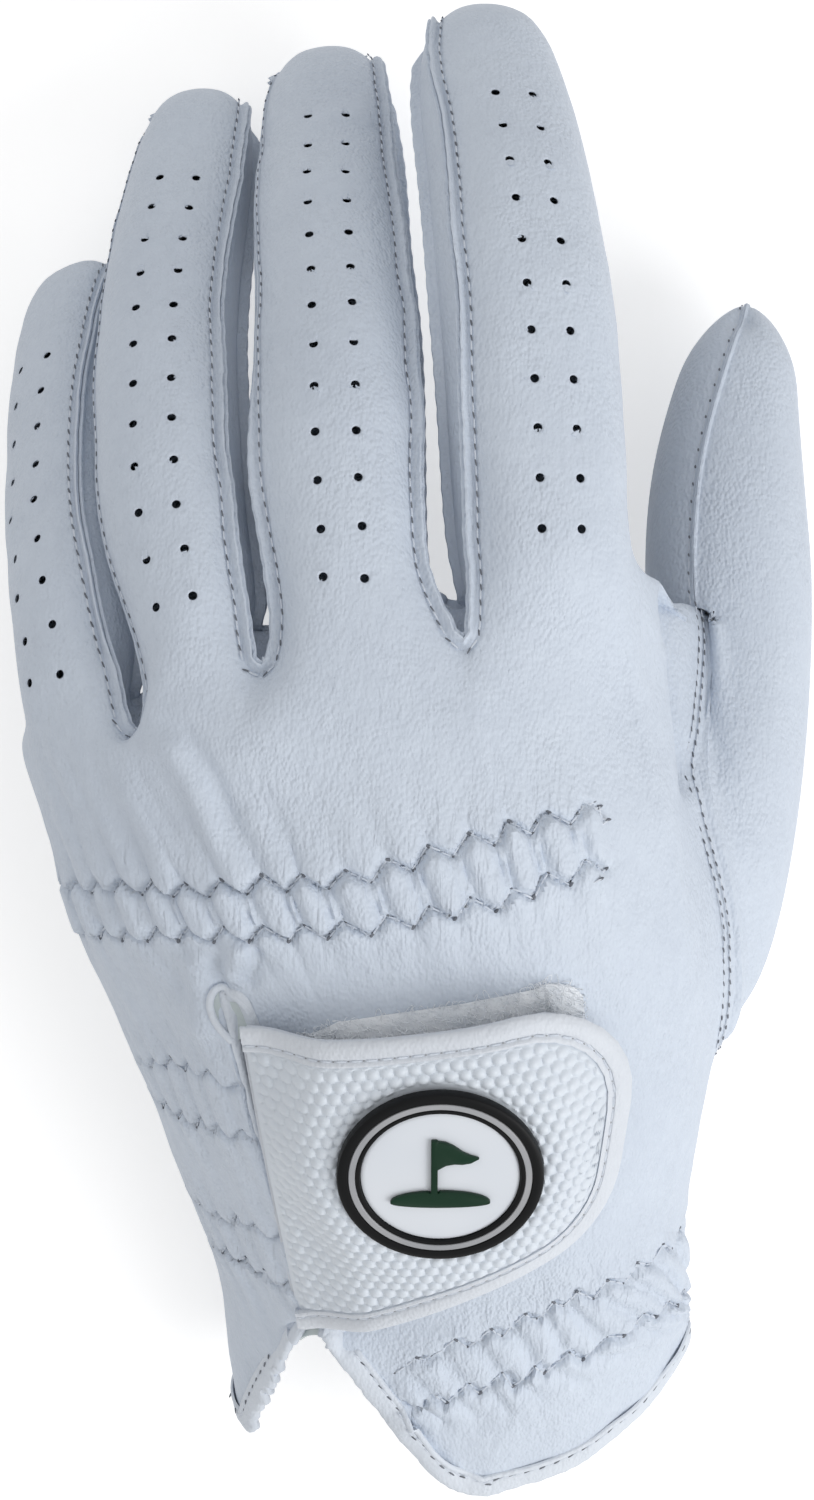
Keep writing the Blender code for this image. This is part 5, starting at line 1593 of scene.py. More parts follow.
def pile_loops(top, chance):
    """Small curled fibres standing out of the pile, along its front and side edges."""
    points, faces = [], []
    for row in range(PILE_DEEP + 1):
        for step in range(PILE_WIDE + 1):
            near_edge = min(row, PILE_WIDE - step) if step > (PILE_WIDE + 1) * 0.5 else row
            if near_edge > FIBRE_ROWS or chance.random() > 0.6:
                continue
            here, there = top[row, step], top[min(row + 1, PILE_DEEP), step]
            side = unit(np.cross(there - here, top[row, min(step + 1, PILE_WIDE)] - here + [1e-7, 0, 0]))
            up = side if side[2] > 0 else -side
            turn = chance.uniform(0, math.pi)
            flat = unit(unit(there - here + np.array([0, -1e-7, 0])) * math.cos(turn)
                        + np.array([math.sin(turn), 0, 0]))
            reach, rise = chance.uniform(0.25, 0.65), chance.uniform(0.3, 0.95)
            lean = np.array([chance.uniform(-0.4, 0.4), chance.uniform(-0.2, 1.0) / (1 + row), 0]) * MM
            centre = here + np.array([chance.uniform(-0.3, 0.3), chance.uniform(-0.3, 0.3), 0]) * MM
            first = len(points)
            across = unit(np.cross(flat, up))
            for k in range(FIBRE_STEPS + 1):
                angle = math.pi * (k / FIBRE_STEPS * 1.2 - 0.1)
                spot = (centre - flat * math.cos(angle) * reach * MM + up * math.sin(angle) * rise * MM
                        + lean * math.sin(angle))
                out = unit(-flat * math.cos(angle) + up * math.sin(angle))
                for corner in range(3):
                    bend = 2 * math.pi * corner / 3
                    points.append(spot + (out * math.cos(bend) + across * math.sin(bend)) * FIBRE_RADIUS)
            for a in range(first, first + 3 * FIBRE_STEPS):
                b = a + 1 if (a - first) % 3 < 2 else a - 2
                faces.append((a, b, b + 3, a + 3))
            faces += [(first + 2, first + 1, first), tuple(range(len(points) - 3, len(points)))]
    return polygon_mesh("loop_pile_fibres", points, faces)


# ---------------------------------------------------------------- the tab, finished
DOME_PITCH = 1.74                # mm between two of the cover's bumps
DOME_RADIUS = 0.84
DOME_HEIGHT = 0.5
COVER_TOP = 2.0 * MM             # the cover stands well up round the badge
BADGE_DROP = 1.35 * MM           # from the middle of the solid badge to the finished one
BADGE_LEAN = math.radians(3.0)   # the cushioned cover tips the badge a little towards the wrist
BADGE_OVAL = 0.97                # the badge is a little narrower along the tab
TURN_STEPS = 96                  # sides of a turned piece
BORDER_PROFILE = ((1.2, -0.62), (0.95, -0.1), (0.55, 0.3), (0.2, 0.75), (0.0, 1.2), (0.08, 1.55),
                  (0.4, 1.88), (1.0, 2.04), (1.75, 2.02), (2.15, 1.86), (2.33, 1.62), (2.5, 1.62),
                  (2.64, 1.86), (2.9, 1.98), (3.2, 1.86), (3.28, 1.4), (2.8, 0.0), (1.9, -0.62))
BORDER_STEP = 0.8 * MM           # between two cross-sections of the border
CORNER_STEPS = 8
LINING_INSET = 1.0 * MM
COVER_START = 0.4 * MM           # from the sewn seam to the cover's edge
HINGE_ROOM = 1.25                # mm that the cover's sewn edge lies lower, so the tab can open
HINGE_SLOPE = 2.2 * MM           # length of the slope up from there


def plate_grid(outline, spacing):
    """Even columns across an outline: lists of (p, q) places."""
    first, last = min(p[0] for p in outline), max(p[0] for p in outline)
    columns = int((last - first) / spacing)
    places = []
    ends = list(zip(outline, outline[1:] + outline[:1]))
    rows = int(TAB_SEWN_WIDTH / spacing * 0.86)
    for i in range(columns + 1):
        p = first + (last - first) * (0.0005 + 0.999 * i / columns)
        cuts = [a[1] + (b[1] - a[1]) * (p - a[0]) / (b[0] - a[0])
                for a, b in ends if (a[0] - p) * (b[0] - p) <= 0 and abs(a[0] - b[0]) > 1e-9]
        places.append([(p, min(cuts) + (max(cuts) - min(cuts)) * j / rows) for j in range(rows + 1)])
    return places


def edge_distance(outline, p, q):
    best = 1.0
    for a, b in zip(outline, outline[1:] + outline[:1]):
        along = b - a
        t = min(max(((p - a[0]) * along[0] + (q - a[1]) * along[1]) / along.dot(along), 0), 1)
        best = min(best, math.hypot(p - a[0] - along[0] * t, q - a[1] - along[1] * t))
    return best


def dome(p, q):
    """Height of the moulded bumps, in mm: round domes on a honeycomb."""
    p, q = p / MM, q / MM
    row = DOME_PITCH * math.sqrt(0.75)
    best = 9.0
    base = math.floor(q / row)
    for r in (base - 1, base, base + 1, base + 2):
        shift = 0.5 * DOME_PITCH * (r % 2)
        k = round((p - shift) / DOME_PITCH)
        best = min(best, math.hypot(p - shift - k * DOME_PITCH, q - r * row))
    return DOME_HEIGHT * max(0.0, 1 - (best / DOME_RADIUS) ** 2) ** 0.75


def moulded_plate(plane, name, outline, low, high, spacing, bumps):
    """A bent plate with square edges, and on the cover with moulded bumps."""
    grid = plate_grid(outline, spacing)
    top, under = [], []
    for line in grid:
        for p, q in line:
            extra = 0.0
            if bumps:
                away = edge_distance(outline, p, q) / MM
                extra = dome(p, q) * float(smooth((away - 0.3) / 0.5))
                ring = math.hypot(p - BADGE_PLACE[0], q - BADGE_PLACE[1] - BADGE_DROP) - BADGE_DIAMETER / 2
                extra *= float(smooth(ring / MM / 0.5))
                extra -= HINGE_ROOM * (1 - min(1.0, (p - COVER_START) / HINGE_SLOPE))
            top.append(plane.point(p, q, high + extra * MM))
            under.append(plane.point(p, q, low))
    return closed_plate(name, top, under, len(grid[0]))


def border_path():
    """The tab's edge beside its border, with the direction inward at each point."""
    outline = rounded_outline(tab_corners(), steps=CORNER_STEPS)
    path = evenly(outline[CORNER_STEPS:-CORNER_STEPS], BORDER_STEP)
    path = [np.array([0.2 * MM, path[0][1]])] + path + [np.array([0.2 * MM, path[-1][1]])]
    ways = [heading(path, i) for i in range(len(path))]
    return [(p, np.array([-along[1], along[0]])) for p, along in zip(path, ways)]


def tab_border(plane, level):
    return band("tab_leather_border", [[plane.point(*(p + inward * w * MM), level + h * MM)
                                        for w, h in BORDER_PROFILE[::-1]] for p, inward in border_path()])


def border_stitches(plane, level, threads, shade_pits):
    line = np.array([plane.point(*(p + inward * 2.44 * MM), level + 1.7 * MM)
                     for p, inward in border_path()])
    for i, share in walk(line, 1.9 * MM):
        here = line[i] + (line[i + 1] - line[i]) * share
        along = unit(line[i + 1] - line[i])
        threads.add(here - along * 0.62 * MM, here + along * 0.62 * MM, 0.16 * MM, 0.8, plane.up)
        # A pale grey capsule at each needle hole: painted shade in the hole.
        slit = here + along * 0.95 * MM - plane.up * 0.05 * MM
        shade_pits.add(slit - along * 0.12 * MM, slit + along * 0.12 * MM, 0.1 * MM, 0.7, plane.up)


def lathe(name, profile, place, closed=False):
    """A turned piece from (radius, height) pairs in mm that run down its outer side."""
    faces = []
    count = len(profile)
    angles = [2 * math.pi * k / TURN_STEPS for k in range(TURN_STEPS)]
    points = [(r * math.cos(a) * MM, r * math.sin(a) * MM, z * MM) for a in angles for r, z in profile]
    for k in range(TURN_STEPS):
        j = (k + 1) % TURN_STEPS
        for i in range(count if closed else count - 1):
            n = (i + 1) % count
            faces.append((k * count + i, k * count + n, j * count + n, j * count + i))
    item = face_outward(polygon_mesh(name, points, faces), merge=1e-6)
    item.data.transform(place)
    return item


def put_in_order(mesh):
    """Numbers a mesh's points and faces by their places: bevelling leaves them in any order."""
    places = [tuple(v.co) for v in mesh.vertices]
    order = sorted(range(len(places)), key=lambda i: [round(c, 7) for c in places[i]])
    number = {old: new for new, old in enumerate(order)}
    faces = []
    for face in mesh.polygons:
        corners = [number[i] for i in face.vertices]
        first = corners.index(min(corners))
        faces.append(corners[first:] + corners[:first])
    mesh.clear_geometry()
    mesh.from_pydata([places[i] for i in order], [], sorted(faces))


def make_badge(plane, level):
    """The badge: satin moulded body, bright ring, recessed disc and a raised flag."""
    centre = plane.point(*BADGE_PLACE, level) + plane.q * BADGE_DROP
    turn = math.radians(BADGE_TURN)
    side = plane.p * math.cos(turn) + plane.q * math.sin(turn)
    up = unit(plane.up * math.cos(BADGE_LEAN) + plane.q * math.sin(BADGE_LEAN))
    side = unit(side - up * side.dot(up))
    place = Matrix((side, np.cross(up, side) * BADGE_OVAL, up)).transposed().to_4x4()
    place.translation = Vector(centre)
    body = lathe("badge_moulded_body", (
        (0.0, 0.3), (10.0, 0.3), (10.05, 1.32), (10.13, 1.44), (10.3, 1.48), (10.52, 1.48), (10.6, 1.4),
        (10.64, 0.9), (11.56, 0.9), (11.6, 1.4), (11.68, 1.5), (12.1, 1.54), (12.6, 1.52), (12.88, 1.4),
        (13.0, 1.15), (13.02, 0.3), (12.9, 0.0), (0.0, 0.0)), place)
    ring = lathe("badge_silver_ring", (
        (10.68, 1.0), (10.68, 1.36), (10.76, 1.44), (11.44, 1.44), (11.52, 1.36), (11.52, 1.0)),
        place, closed=True)
    disc = lathe("badge_white_disc", (
        (0.0, 1.05), (9.3, 1.05), (9.75, 1.02), (9.96, 0.9), (9.96, 0.4), (0.0, 0.4)), place)
    outline = flag_outline()
    flag = polygon_mesh("badge_flag", [(x * MM, y * MM, 1.12 * MM) for x, y in outline],
                        [tuple(range(len(outline)))])
    shape = bmesh.new()
    shape.from_mesh(flag.data)
    top = bmesh.ops.extrude_face_region(shape, geom=shape.faces[:])
    bmesh.ops.translate(shape, vec=(0, 0, 0.62 * MM),
                        verts=[v for v in top["geom"] if isinstance(v, bmesh.types.BMVert)])
    shape.to_mesh(flag.data)
    shape.free()
    face_outward(flag)
    bevel = flag.modifiers.new("Bevel", "BEVEL")
    bevel.width = 0.12 * MM
    bevel.segments = 2
    bevel.limit_method = "ANGLE"
    bevel.angle_limit = math.radians(50)
    apply_modifiers(flag)
    put_in_order(flag.data)
    flag.data.transform(place)
    return body, ring, disc, flag


def flag_outline():
    """A pennant on a low mound, in mm, as one outline."""
    inner, outer, high, foot = -0.33, -1.17, 6.0, -2.2       # the pole's sides, top and foot
    mound = [(6.3 * math.cos(a), -3.7 + 1.75 * math.sin(a)) for a in np.linspace(0, math.pi, 25)]
    right, left = [p for p in mound if p[0] > inner + 0.2], [p for p in mound if p[0] < outer - 0.2]
    shares = (0.0, 0.2, 0.4, 0.6, 0.8, 1.0)
    lower, upper = ([(inner + 5.2 * t, start + slope * t + 0.35 * math.sin(2 * math.pi * t)) for t in shares]
                    for start, slope in ((1.5, 1.75), (5.8, -2.35)))
    under = [(-6.3 * math.cos(a), -3.7 - 0.75 * math.sin(a)) for a in np.linspace(0, math.pi, 17)[1:-1]]
    return (right + [(inner, foot)] + lower + upper[-2::-1] + [(inner, high), (outer, high), (outer, foot)]
            + left + under)


# ---------------------------------------------------------------- materials
def colour(*rgb):
    """A colour from 0 to 255 values as shown, in the linear form that shaders take."""
    return tuple(((v / 255 + 0.055) / 1.055) ** 2.4 if v > 10 else v / 3294 for v in rgb) + (1.0,)


class Nodes:
    """A short way to build a node tree."""

    def __init__(self, tree):
        self.tree = tree

    def add(self, kind, inputs=(), **settings):
        node = self.tree.nodes.new(kind)
        for key, value in settings.items():
            setattr(node, key, value)
        for key, value in dict(inputs).items():
            if isinstance(value, bpy.types.NodeSocket):
                self.tree.links.new(value, node.inputs[key])
            else:
                node.inputs[key].default_value = value
        return node

    def math(self, operation, a, b=0.5, clamp=False):
        return self.add("ShaderNodeMath", {0: a, 1: b}, operation=operation, use_clamp=clamp).outputs[0]

    def ramp(self, value, low, high, start=0.0, end=1.0):
        return self.add("ShaderNodeMapRange", {"Value": value, "From Min": low, "From Max": high,
                                               "To Min": start, "To Max": end}).outputs[0]

    def mix(self, factor, a, b, blend="MIX"):
        node = self.add("ShaderNodeMix", {"Factor": factor}, data_type="RGBA", blend_type=blend)
        for key, value in (("A", a), ("B", b)):
            socket = next(s for s in node.inputs if s.name == key and s.type == "RGBA")
            if isinstance(value, bpy.types.NodeSocket):
                self.tree.links.new(value, socket)
            else:
                socket.default_value = value
        return next(s for s in node.outputs if s.type == "RGBA")

    def noise(self, vector, scale, detail=3.0, rough=0.55, distortion=0.0):
        return self.add("ShaderNodeTexNoise", {"Vector": vector, "Scale": scale, "Detail": detail,
                                               "Roughness": rough, "Distortion": distortion}).outputs["Fac"]

    def cells(self, vector, scale, feature="F1", **inputs):
        return self.add("ShaderNodeTexVoronoi", {"Vector": vector, "Scale": scale, **inputs},
                        feature=feature).outputs["Distance"]

    def bump(self, height, distance, strength=1.0, normal=None):
        inputs = {"Height": height, "Distance": distance, "Strength": strength}
        if normal is not None:
            inputs["Normal"] = normal
        return self.add("ShaderNodeBump", inputs).outputs[0]


def make_group(name, sockets, build):
    """A shared effect: sockets are (name, type, default), and build returns the outputs."""
    tree = bpy.data.node_groups.new(name, "ShaderNodeTree")
    for label, kind, default in sockets:
        socket = tree.interface.new_socket(label, in_out="INPUT", socket_type=kind)
        socket.default_value = default
    nodes = Nodes(tree)
    start = tree.nodes.new("NodeGroupInput")
    made = build(nodes, start.outputs)
    for label, socket in made.items():
        kind = {"RGBA": "NodeSocketColor", "VECTOR": "NodeSocketVector"}.get(socket.type, "NodeSocketFloat")
        tree.interface.new_socket(label, in_out="OUTPUT", socket_type=kind)
    end = tree.nodes.new("NodeGroupOutput")
    for label, socket in made.items():
        tree.links.new(socket, end.inputs[label])
    return tree


def cabretta(nodes, given):
    """Thin sheepskin: fine grain, pores, soft shade from place to place, and drawn wrinkles."""
    place = nodes.add("ShaderNodeTexCoord").outputs["Object"]
    strain = nodes.add("ShaderNodeAttribute", attribute_name="strain").outputs["Fac"]
    drawn = nodes.add("ShaderNodeMapping", {"Vector": place, "Scale": (1.0, 0.7, 1.0)}).outputs[0]
    pulled = nodes.add("ShaderNodeMapping", {"Vector": place, "Scale": (1.0, 0.16, 0.5)}).outputs[0]
    grain = nodes.cells(drawn, 2100.0, "SMOOTH_F1", Smoothness=0.45)
    fine = nodes.noise(place, 4200.0, 2.0, 0.6)
    along = nodes.add("ShaderNodeMapping", {"Vector": place, "Scale": (1.0, 0.42, 0.7)}).outputs[0]
    wrinkle = nodes.noise(drawn, 620.0, 3.0, 0.5, 0.4)
    lines = nodes.noise(along, 1150.0, 2.0, 0.5, 0.7)
    folds = nodes.noise(pulled, 720.0, 2.0, 0.5, 0.8)
    broad = nodes.noise(place, 34.0, 3.0, 0.5)
    patches = nodes.ramp(nodes.noise(place, 90.0, 2.0), 0.35, 0.65, 0.45, 1.0)
    pores = nodes.ramp(nodes.cells(place, 900.0), 0.05, 0.17, 0.0, 1.0)
    height = nodes.math("MULTIPLY", nodes.math("MULTIPLY", grain, -0.85), patches)
    drawn_folds = nodes.math("MULTIPLY", folds, strain)
    for wave, share in ((fine, 0.14), (wrinkle, 0.4), (lines, 0.7), (drawn_folds, 2.4), (pores, 0.1)):
        height = nodes.math("ADD", height, nodes.math("MULTIPLY", wave, share))
    height = nodes.math("MULTIPLY", height, given["Grain"])
    normal = nodes.bump(height, 0.00026, 0.8)
    tone = nodes.math("ADD", nodes.math("MULTIPLY", wrinkle, 0.3), nodes.math("MULTIPLY", broad, 0.5))
    shade = nodes.mix(nodes.ramp(tone, 0.25, 0.58), given["Deep"], given["Light"])
    shade = nodes.mix(nodes.math("MULTIPLY", nodes.math("SUBTRACT", 1.0, pores), 0.12), shade, given["Deep"],
                      "MULTIPLY")
    gloss = nodes.ramp(nodes.math("ADD", broad, nodes.math("MULTIPLY", grain, 0.3)), 0.3, 0.95, 0.48, 0.62)
    return {"Colour": shade, "Roughness": gloss, "Normal": normal}


def principled(name, **settings):
    material = bpy.data.materials.new(name)
    material.use_nodes = True
    nodes = Nodes(material.node_tree)
    shader = material.node_tree.nodes["Principled BSDF"]
    for key, value in settings.items():
        shader.inputs[key.replace("_", " ")].default_value = value
    return material, nodes, shader


def connect(material, shader, **sockets):
    for key, socket in sockets.items():
        material.node_tree.links.new(socket, shader.inputs[key.replace("_", " ")])
    return material


def leather(group, name, light, deep, grain):
    material, nodes, shader = principled(name, Specular_IOR_Level=0.42, Sheen_Weight=0.06,
                                         Sheen_Roughness=0.5)
    effect = nodes.add("ShaderNodeGroup", node_tree=group)
    for key, value in (("Light", light), ("Deep", deep), ("Grain", grain)):
        effect.inputs[key].default_value = value
    made = effect.outputs
    return connect(material, shader, Base_Color=made["Colour"], Roughness=made["Roughness"],
                   Normal=made["Normal"])


def moulded(name, base, other, scale, rough, bump, **settings):
    """A moulded, woven or metal finish: two near colours, a fine speckle and uneven gloss."""
    material, nodes, shader = principled(name, **settings)
    place = nodes.add("ShaderNodeTexCoord").outputs["Object"]
    fine = nodes.noise(place, scale, 3.0)
    broad = nodes.noise(place, scale / 22, 2.0)
    shade = nodes.mix(nodes.ramp(broad, 0.35, 0.65), base, other)
    gloss = nodes.ramp(nodes.math("ADD", fine, broad), 0.7, 1.3, rough[0], rough[1])
    return connect(material, shader, Base_Color=shade, Roughness=gloss, Normal=nodes.bump(fine, bump))


def ribbed(name, base, other):
    """Woven elastic: rubber cords under a fine weave, with painted shade darkening the grooves between the
    cords.
    """
    material, nodes, shader = principled(name, Sheen_Weight=0.2)
    place = nodes.add("ShaderNodeTexCoord").outputs["Object"]
    rib = nodes.add("ShaderNodeTexWave", {"Vector": place, "Scale": 160.0, "Distortion": 0.4},
                    bands_direction="Y").outputs["Fac"]
    weave = nodes.add("ShaderNodeTexWave", {"Vector": place, "Scale": 620.0, "Distortion": 0.6},
                      bands_direction="X").outputs["Fac"]
    height = nodes.math("ADD", rib, nodes.math("MULTIPLY", weave, 0.4))
    # The low parts of the ribs take the darker colour: painted shade in the grooves.
    return connect(material, shader, Base_Color=nodes.mix(rib, other, base),
                   Roughness=nodes.ramp(weave, 0, 1, 0.7, 0.9), Normal=nodes.bump(height, 0.00025))


# Each finish: look, name, its two colours, size of its speckle, gloss from and to, bumps in mm.
FINISHES = (
    ("tab cover", "moulded_tab_rubber", (213, 220, 228), (207, 214, 223), 900.0, (0.4, 0.5), 0.01),
    ("thread", "white_sewing_thread", (214, 220, 229), (200, 207, 217), 5200.0, (0.5, 0.7), 0.05),
    # Dark grey capsules at the needle holes: painted shade in the holes.
    ("painted needle shade", "painted_needle_hole_shade", (120, 124, 132), (96, 100, 108), 3000.0, (0.9, 1.0), 0.01),
    # Pale grey capsules at the tab's needle holes: a lighter painted shade in the holes.
    ("tab painted needle shade", "tab_painted_needle_hole_shade", (168, 171, 174), (150, 153, 157), 3000.0, (0.9, 1.0), 0.01),
    ("pile", "white_loop_pile", (240, 243, 247), (226, 231, 237), 2600.0, (0.8, 0.95), 0.2),
    ("hooks", "grey_hook_strip", (205, 210, 216), (188, 194, 202), 1400.0, (0.5, 0.7), 0.3),
    ("slit lining", "pale_slit_lining", (206, 214, 214), (190, 200, 201), 1500.0, (0.6, 0.8), 0.04),
    ("badge", "black_moulded_badge", (11, 12, 14), (6, 7, 9), 1500.0, (0.42, 0.5), 0.006),
    ("silver", "satin_silver_ring", (178, 179, 182), (164, 166, 170), 2200.0, (0.42, 0.55), 0.006),
    ("disc", "white_enamel_disc", (221, 225, 231), (215, 220, 227), 1200.0, (0.3, 0.4), 0.006),
    ("emblem", "green_enamel_flag", (13, 50, 32), (9, 38, 24), 900.0, (0.3, 0.4), 0.006),
)
FINISH_SETTINGS = {"pile": {"Sheen_Weight": 0.3}, "badge": {"Specular_IOR_Level": 0.2},
                   "silver": {"Metallic": 0.55}, "emblem": {"Specular_IOR_Level": 0.25}}
LEATHERS = (
    ("white leather", "white_glove_leather", (208, 217, 229), (196, 205, 218), 1.0),
    ("tab leather", "warm_tab_leather", (214, 219, 226), (205, 210, 218), 0.6),
    ("binding", "white_binding", (216, 222, 230), (205, 212, 222), 0.7),
)


def all_materials():
    white = (1, 1, 1, 1)
    group = make_group("thin_sheepskin", (("Light", "NodeSocketColor", white),
                                          ("Deep", "NodeSocketColor", white),
                                          ("Grain", "NodeSocketFloat", 1.0)), cabretta)
    looks = {look: leather(group, name, colour(*light), colour(*deep), grain)
             for look, name, light, deep, grain in LEATHERS}
    for look, name, light, deep, scale, gloss, bumps in FINISHES:
        looks[look] = moulded(name, colour(*light), colour(*deep), scale, gloss, bumps * MM,
                              **FINISH_SETTINGS.get(look, {}))
    # The second, darker colour is painted shade for the grooves between the ribs.
    looks["elastic"] = ribbed("white_ribbed_elastic", colour(214, 218, 224), colour(170, 176, 186))
    return looks


def assign(item, material):
    item.data.materials.clear()
    item.data.materials.append(material)
    for face in item.data.polygons:
        face.material_index = 0


# ---------------------------------------------------------------- putting the glove together
def settle(item, material, body, slots, *nodes, smooth_angle=40, thickness=None):
    """Finishes a piece: thickness, smooth shading, material, place, and hides the parts it stands for; slots
    is not used.
    """
    if thickness:
        solid = item.modifiers.new("Solidify", "SOLIDIFY")
        solid.thickness = thickness
        solid.offset = -1
        solid.use_even_offset = False
        apply_modifiers(item)
    activate(item)
    bpy.ops.object.shade_smooth_by_angle(angle=math.radians(smooth_angle))
    for layer in list(item.data.uv_layers):
        item.data.uv_layers.remove(layer)
    assign(item, material)
    item.data.transform(Matrix.Translation(STAND))
    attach(item, body)
    if nodes:
        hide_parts(*nodes)
    return item


TACK_SEED, PILE_SEED = 5, 7
TACKS = ((22.9, -8.1, 62.0), (23.2, -15.2, 62.0))   # mm, where the two rows beside the thumb end
UNDERLAY_THICKNESS = 0.5 * MM
PLATE_STEP = 0.9 * MM            # between the points of a plain plate
COVER_STEP = 0.225 * MM          # between the points of the domed cover


def make_glove(skin, looks, surface, hand, arcs, ground):
    """The leather panels and the stitches that join and gather them."""
    holes = hole_places(skin)
    seams = {}
    for tag in PANELS:
        item, seams[tag] = make_panel(skin, tag, holes if tag == "back_panel" else ())
        settle(item, looks["white leather"], "glove", tag, tag, thickness=THICKNESS)
    threads, shade_pits = Threads(), Threads()
    for tag, runs in seams.items():
        for run in runs["fin"] + runs["side"]:
            if len(run) > 3 and tag in ("back_panel", "palm_panel"):
                sew(threads, shade_pits, run, (1.2, 0.16))
        for run in runs["over"]:
            if len(run) > 3:
                sew(threads, shade_pits, run, (0.35, 0.6), pitch=1.65, radius=0.11, dash=0.36)
                sew(threads, shade_pits, run, (1.4, 0.36), pitch=1.65, radius=0.11, dash=0.36)
        for run in runs["welt"]:
            if len(run) > 3 and tag == "thumb_inner_panel":
                sew(threads, shade_pits, run, (0.75, 0.04), pitch=2.5, radius=0.08, dash=0.2)
    sew_gathers(surface, hand, arcs, ground, threads, shade_pits)
    chance = random.Random(TACK_SEED)
    for place in TACKS:
        tack(ground, place, threads, shade_pits, chance)
    settle(threads.make("panel_stitches"), looks["thread"], "glove", "back_panel")
    # Dark capsules at the needle holes of the panels and gathers: painted shade.
    settle(shade_pits.make("panel_painted_needle_hole_shade"), looks["painted needle shade"], "glove", "back_panel")


def make_edges(skin, looks, ground):
    """The bindings of the hem and the slit, and what shows at the slit's top."""
    slit, hem = open_run(skin, True), open_run(skin, False)
    item, _ = band_along(skin, slit, "slit_edge_binding", SLIT_BAND)
    settle(item, looks["binding"], "glove", "slit_binding", "slit_binding", smooth_angle=60)
    item, edge = band_along(skin, hem, "cuff_edge_binding", HEM_BAND, ragged=hem_ragged)
    settle(item, looks["binding"], "glove", "cuff_binding", "cuff_binding", smooth_angle=60)
    threads, shade_pits = Threads(), Threads()
    sew(threads, shade_pits, [(p, n, -o) for p, n, o in zip(*edge)], (2.15, 0.36), pitch=2.2)
    settle(threads.make("hem_stitches"), looks["thread"], "glove", "cuff_binding")
    # Dark capsules at the hem's needle holes: painted shade.
    settle(shade_pits.make("hem_painted_needle_hole_shade"), looks["painted needle shade"], "glove", "cuff_binding")
    settle(slit_underlay(skin), looks["slit lining"], "glove", "slit_binding", thickness=UNDERLAY_THICKNESS)
    for item, look in zip(slit_loop(ground), ("binding", "slit lining")):
        settle(item, looks[look], "glove", "slit_binding", smooth_angle=80)


def make_pile(skin, surface, hand, looks):
    base, top = pile_patch(skin, surface, hand)
    settle(base, looks["pile"], "glove", "loop_patch", "loop_patch")
    settle(pile_loops(top, random.Random(PILE_SEED)), looks["pile"], "glove", "loop_patch")


def make_tab(surface, looks):
    """The closing tab from its hook strip up to the badge."""
    plane = TabPlane(surface)
    level = TAB_LINING + FIT
    hooks = rounded_outline(hook_corners())
    under = rounded_outline(tab_corners(), (LINING_INSET, LINING_INSET, LINING_INSET, 0.0))
    edge = TAB_BORDER + FIT
    inside = rounded_outline(tab_corners(), (edge, edge, edge, COVER_START))
    cover_top = level + COVER_TOP - DOME_HEIGHT * MM
    for name, outline, low, high, spacing, bumps, look, node in (
            ("tab_hook_strip", hooks, -TAB_GAP - HOOK_THICKNESS, -TAB_GAP, PLATE_STEP, False, "hooks",
             "hook_patch"),
            ("tab_leather_lining", under, 0.0, TAB_LINING, PLATE_STEP, False, "tab leather", "tab_lining"),
            ("tab_domed_cover", inside, level, cover_top, COVER_STEP, True, "tab cover", "tab_cover")):
        plate = moulded_plate(plane, name, outline, low, high, spacing, bumps)
        settle(plate, looks[look], "tab", node, node)
    settle(tab_border(plane, level), looks["tab leather"], "tab", "tab_border", "tab_border")
    threads, shade_pits = Threads(), Threads()
    border_stitches(plane, level, threads, shade_pits)
    settle(threads.make("tab_border_stitches"), looks["thread"], "tab", "tab_border")
    # Pale grey capsules at the border's needle holes: painted shade.
    settle(shade_pits.make("tab_painted_needle_hole_shade"), looks["tab painted needle shade"], "tab", "tab_border")
    parts = make_badge(plane, level + TAB_COVER + FIT)
    for item, look, node in zip(parts, ("badge", "silver", "disc", "emblem"),
                                ("badge_body", "badge_bright_ring", "badge_disc", "badge_emblem")):
        settle(item, looks[look], "tab", node, node, smooth_angle=30)


def main():
    surface, hand = build_surface()
    dense = smooth_surface(surface)
    refine(dense, GATHERS)
    skin = Skin(dense)
    arcs = [arc_lengths(surface, hand, g) for g in GATHERS]
    raise_relief(skin, GATHERS, arcs)
    skin.find_normals()
    bpy.data.objects.remove(dense)
    looks = all_materials()
    ground = Ground(skin)
    make_glove(skin, looks, surface, hand, arcs, ground)
    make_edges(skin, looks, ground)
    make_pile(skin, surface, hand, looks)
    make_tab(surface, looks)
    for node, item in frame["nodes"].items():
        if "elastic" in node:
            for slot in item.material_slots:
                slot.material = looks["elastic"]


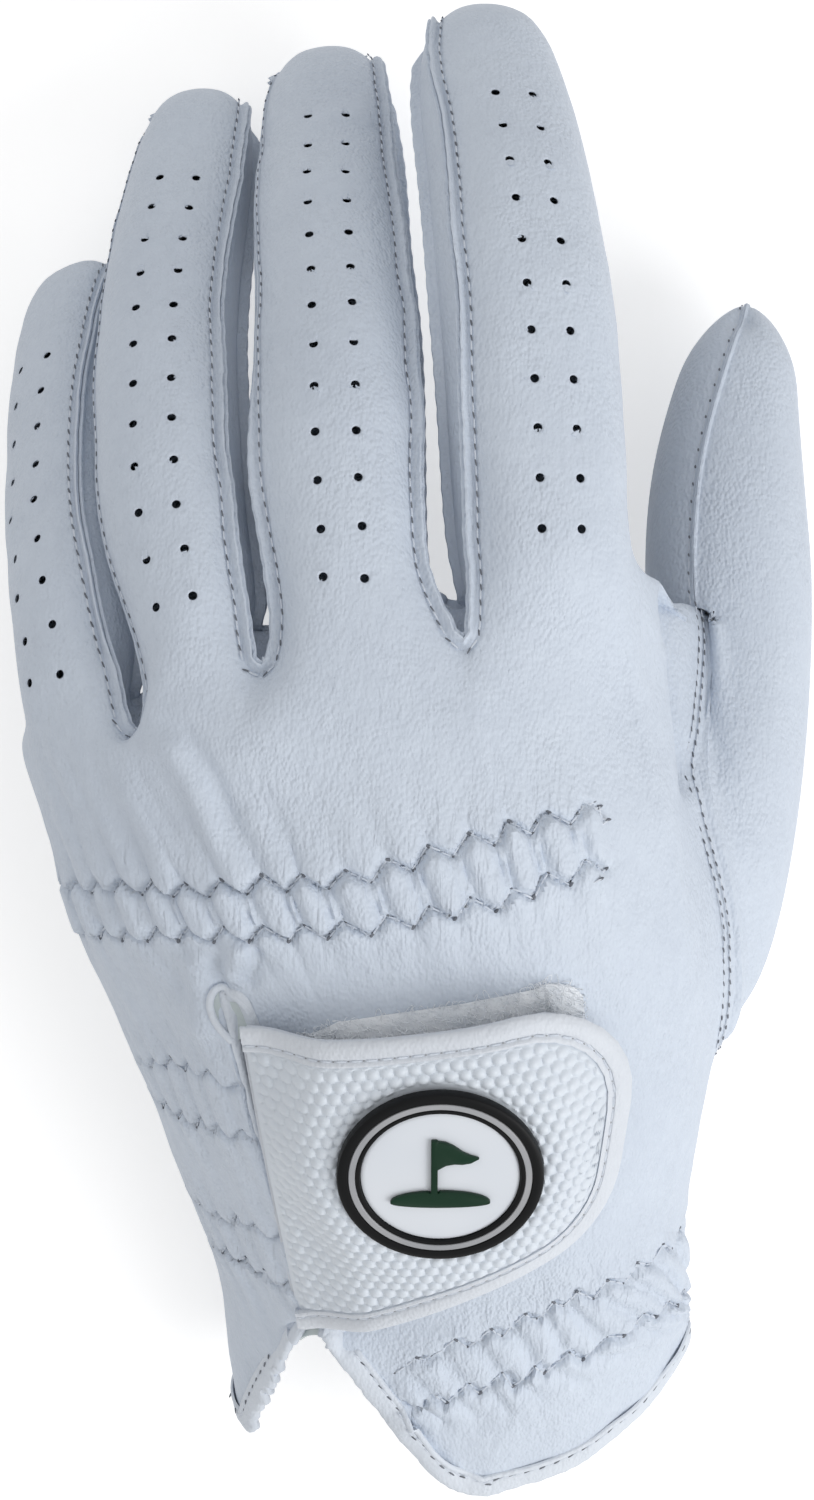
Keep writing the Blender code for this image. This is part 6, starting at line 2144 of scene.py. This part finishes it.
FLOOR_SHINE = 0.45               # how bright the floor looks by itself
WORLD_LIGHT = 0.63
LAMPS = (                        # name, place, width and depth, watts
    ("key_softbox", (0.5, -0.35, 0.42), (0.45, 0.45), 2.6),
    ("top_softbox", (-0.2, 0.4, 1.2), (1.4, 1.4), 1.4),
)
LAMP_AIM = Vector((0, 0, 0.03))


def make_light():
    floor = polygon_mesh("floor", [(-3, -3, 0), (3, -3, 0), (3, 3, 0), (-3, 3, 0)], [(0, 1, 2, 3)])
    material, nodes, shader = principled("pale_floor", Roughness=0.9, Base_Color=(0.8, 0.8, 0.8, 1),
                                         Emission_Color=(1, 1, 1, 1))
    rays = nodes.add("ShaderNodeLightPath")
    seen = nodes.math("ADD", rays.outputs["Is Camera Ray"], rays.outputs["Is Glossy Ray"], clamp=True)
    seen = nodes.math("ADD", seen, rays.outputs["Is Transmission Ray"], clamp=True)
    connect(material, shader, Emission_Strength=nodes.math("MULTIPLY", seen, FLOOR_SHINE))
    assign(floor, material)
    world = bpy.data.worlds.new("studio")
    bpy.context.scene.world = world
    world.use_nodes = True
    background = world.node_tree.nodes["Background"]
    background.inputs["Color"].default_value = (1, 1, 1, 1)
    background.inputs["Strength"].default_value = WORLD_LIGHT
    for name, place, size, watts in LAMPS:
        lamp = bpy.data.lights.new(name, "AREA")
        lamp.shape = "RECTANGLE"
        lamp.size, lamp.size_y = size
        lamp.energy = watts
        item = bpy.data.objects.new(name, lamp)
        bpy.context.scene.collection.objects.link(item)
        item.location = place
        item.rotation_euler = (LAMP_AIM - Vector(place)).to_track_quat("-Z", "Y").to_euler()


CAMERA_LENS, CAMERA_FRAME = 73.87, 36.0
CAMERA_HEIGHT = 0.450


def make_camera():
    data = bpy.data.cameras.new("camera")
    data.lens, data.sensor_width = CAMERA_LENS, CAMERA_FRAME
    item = bpy.data.objects.new("camera", data)
    item.location = Vector((0, 0, CAMERA_HEIGHT)) + Vector(STAND)
    bpy.context.scene.collection.objects.link(item)
    bpy.context.scene.camera = item


bpy.context.scene.view_settings.view_transform = "Standard"
main()
make_light()
make_camera()
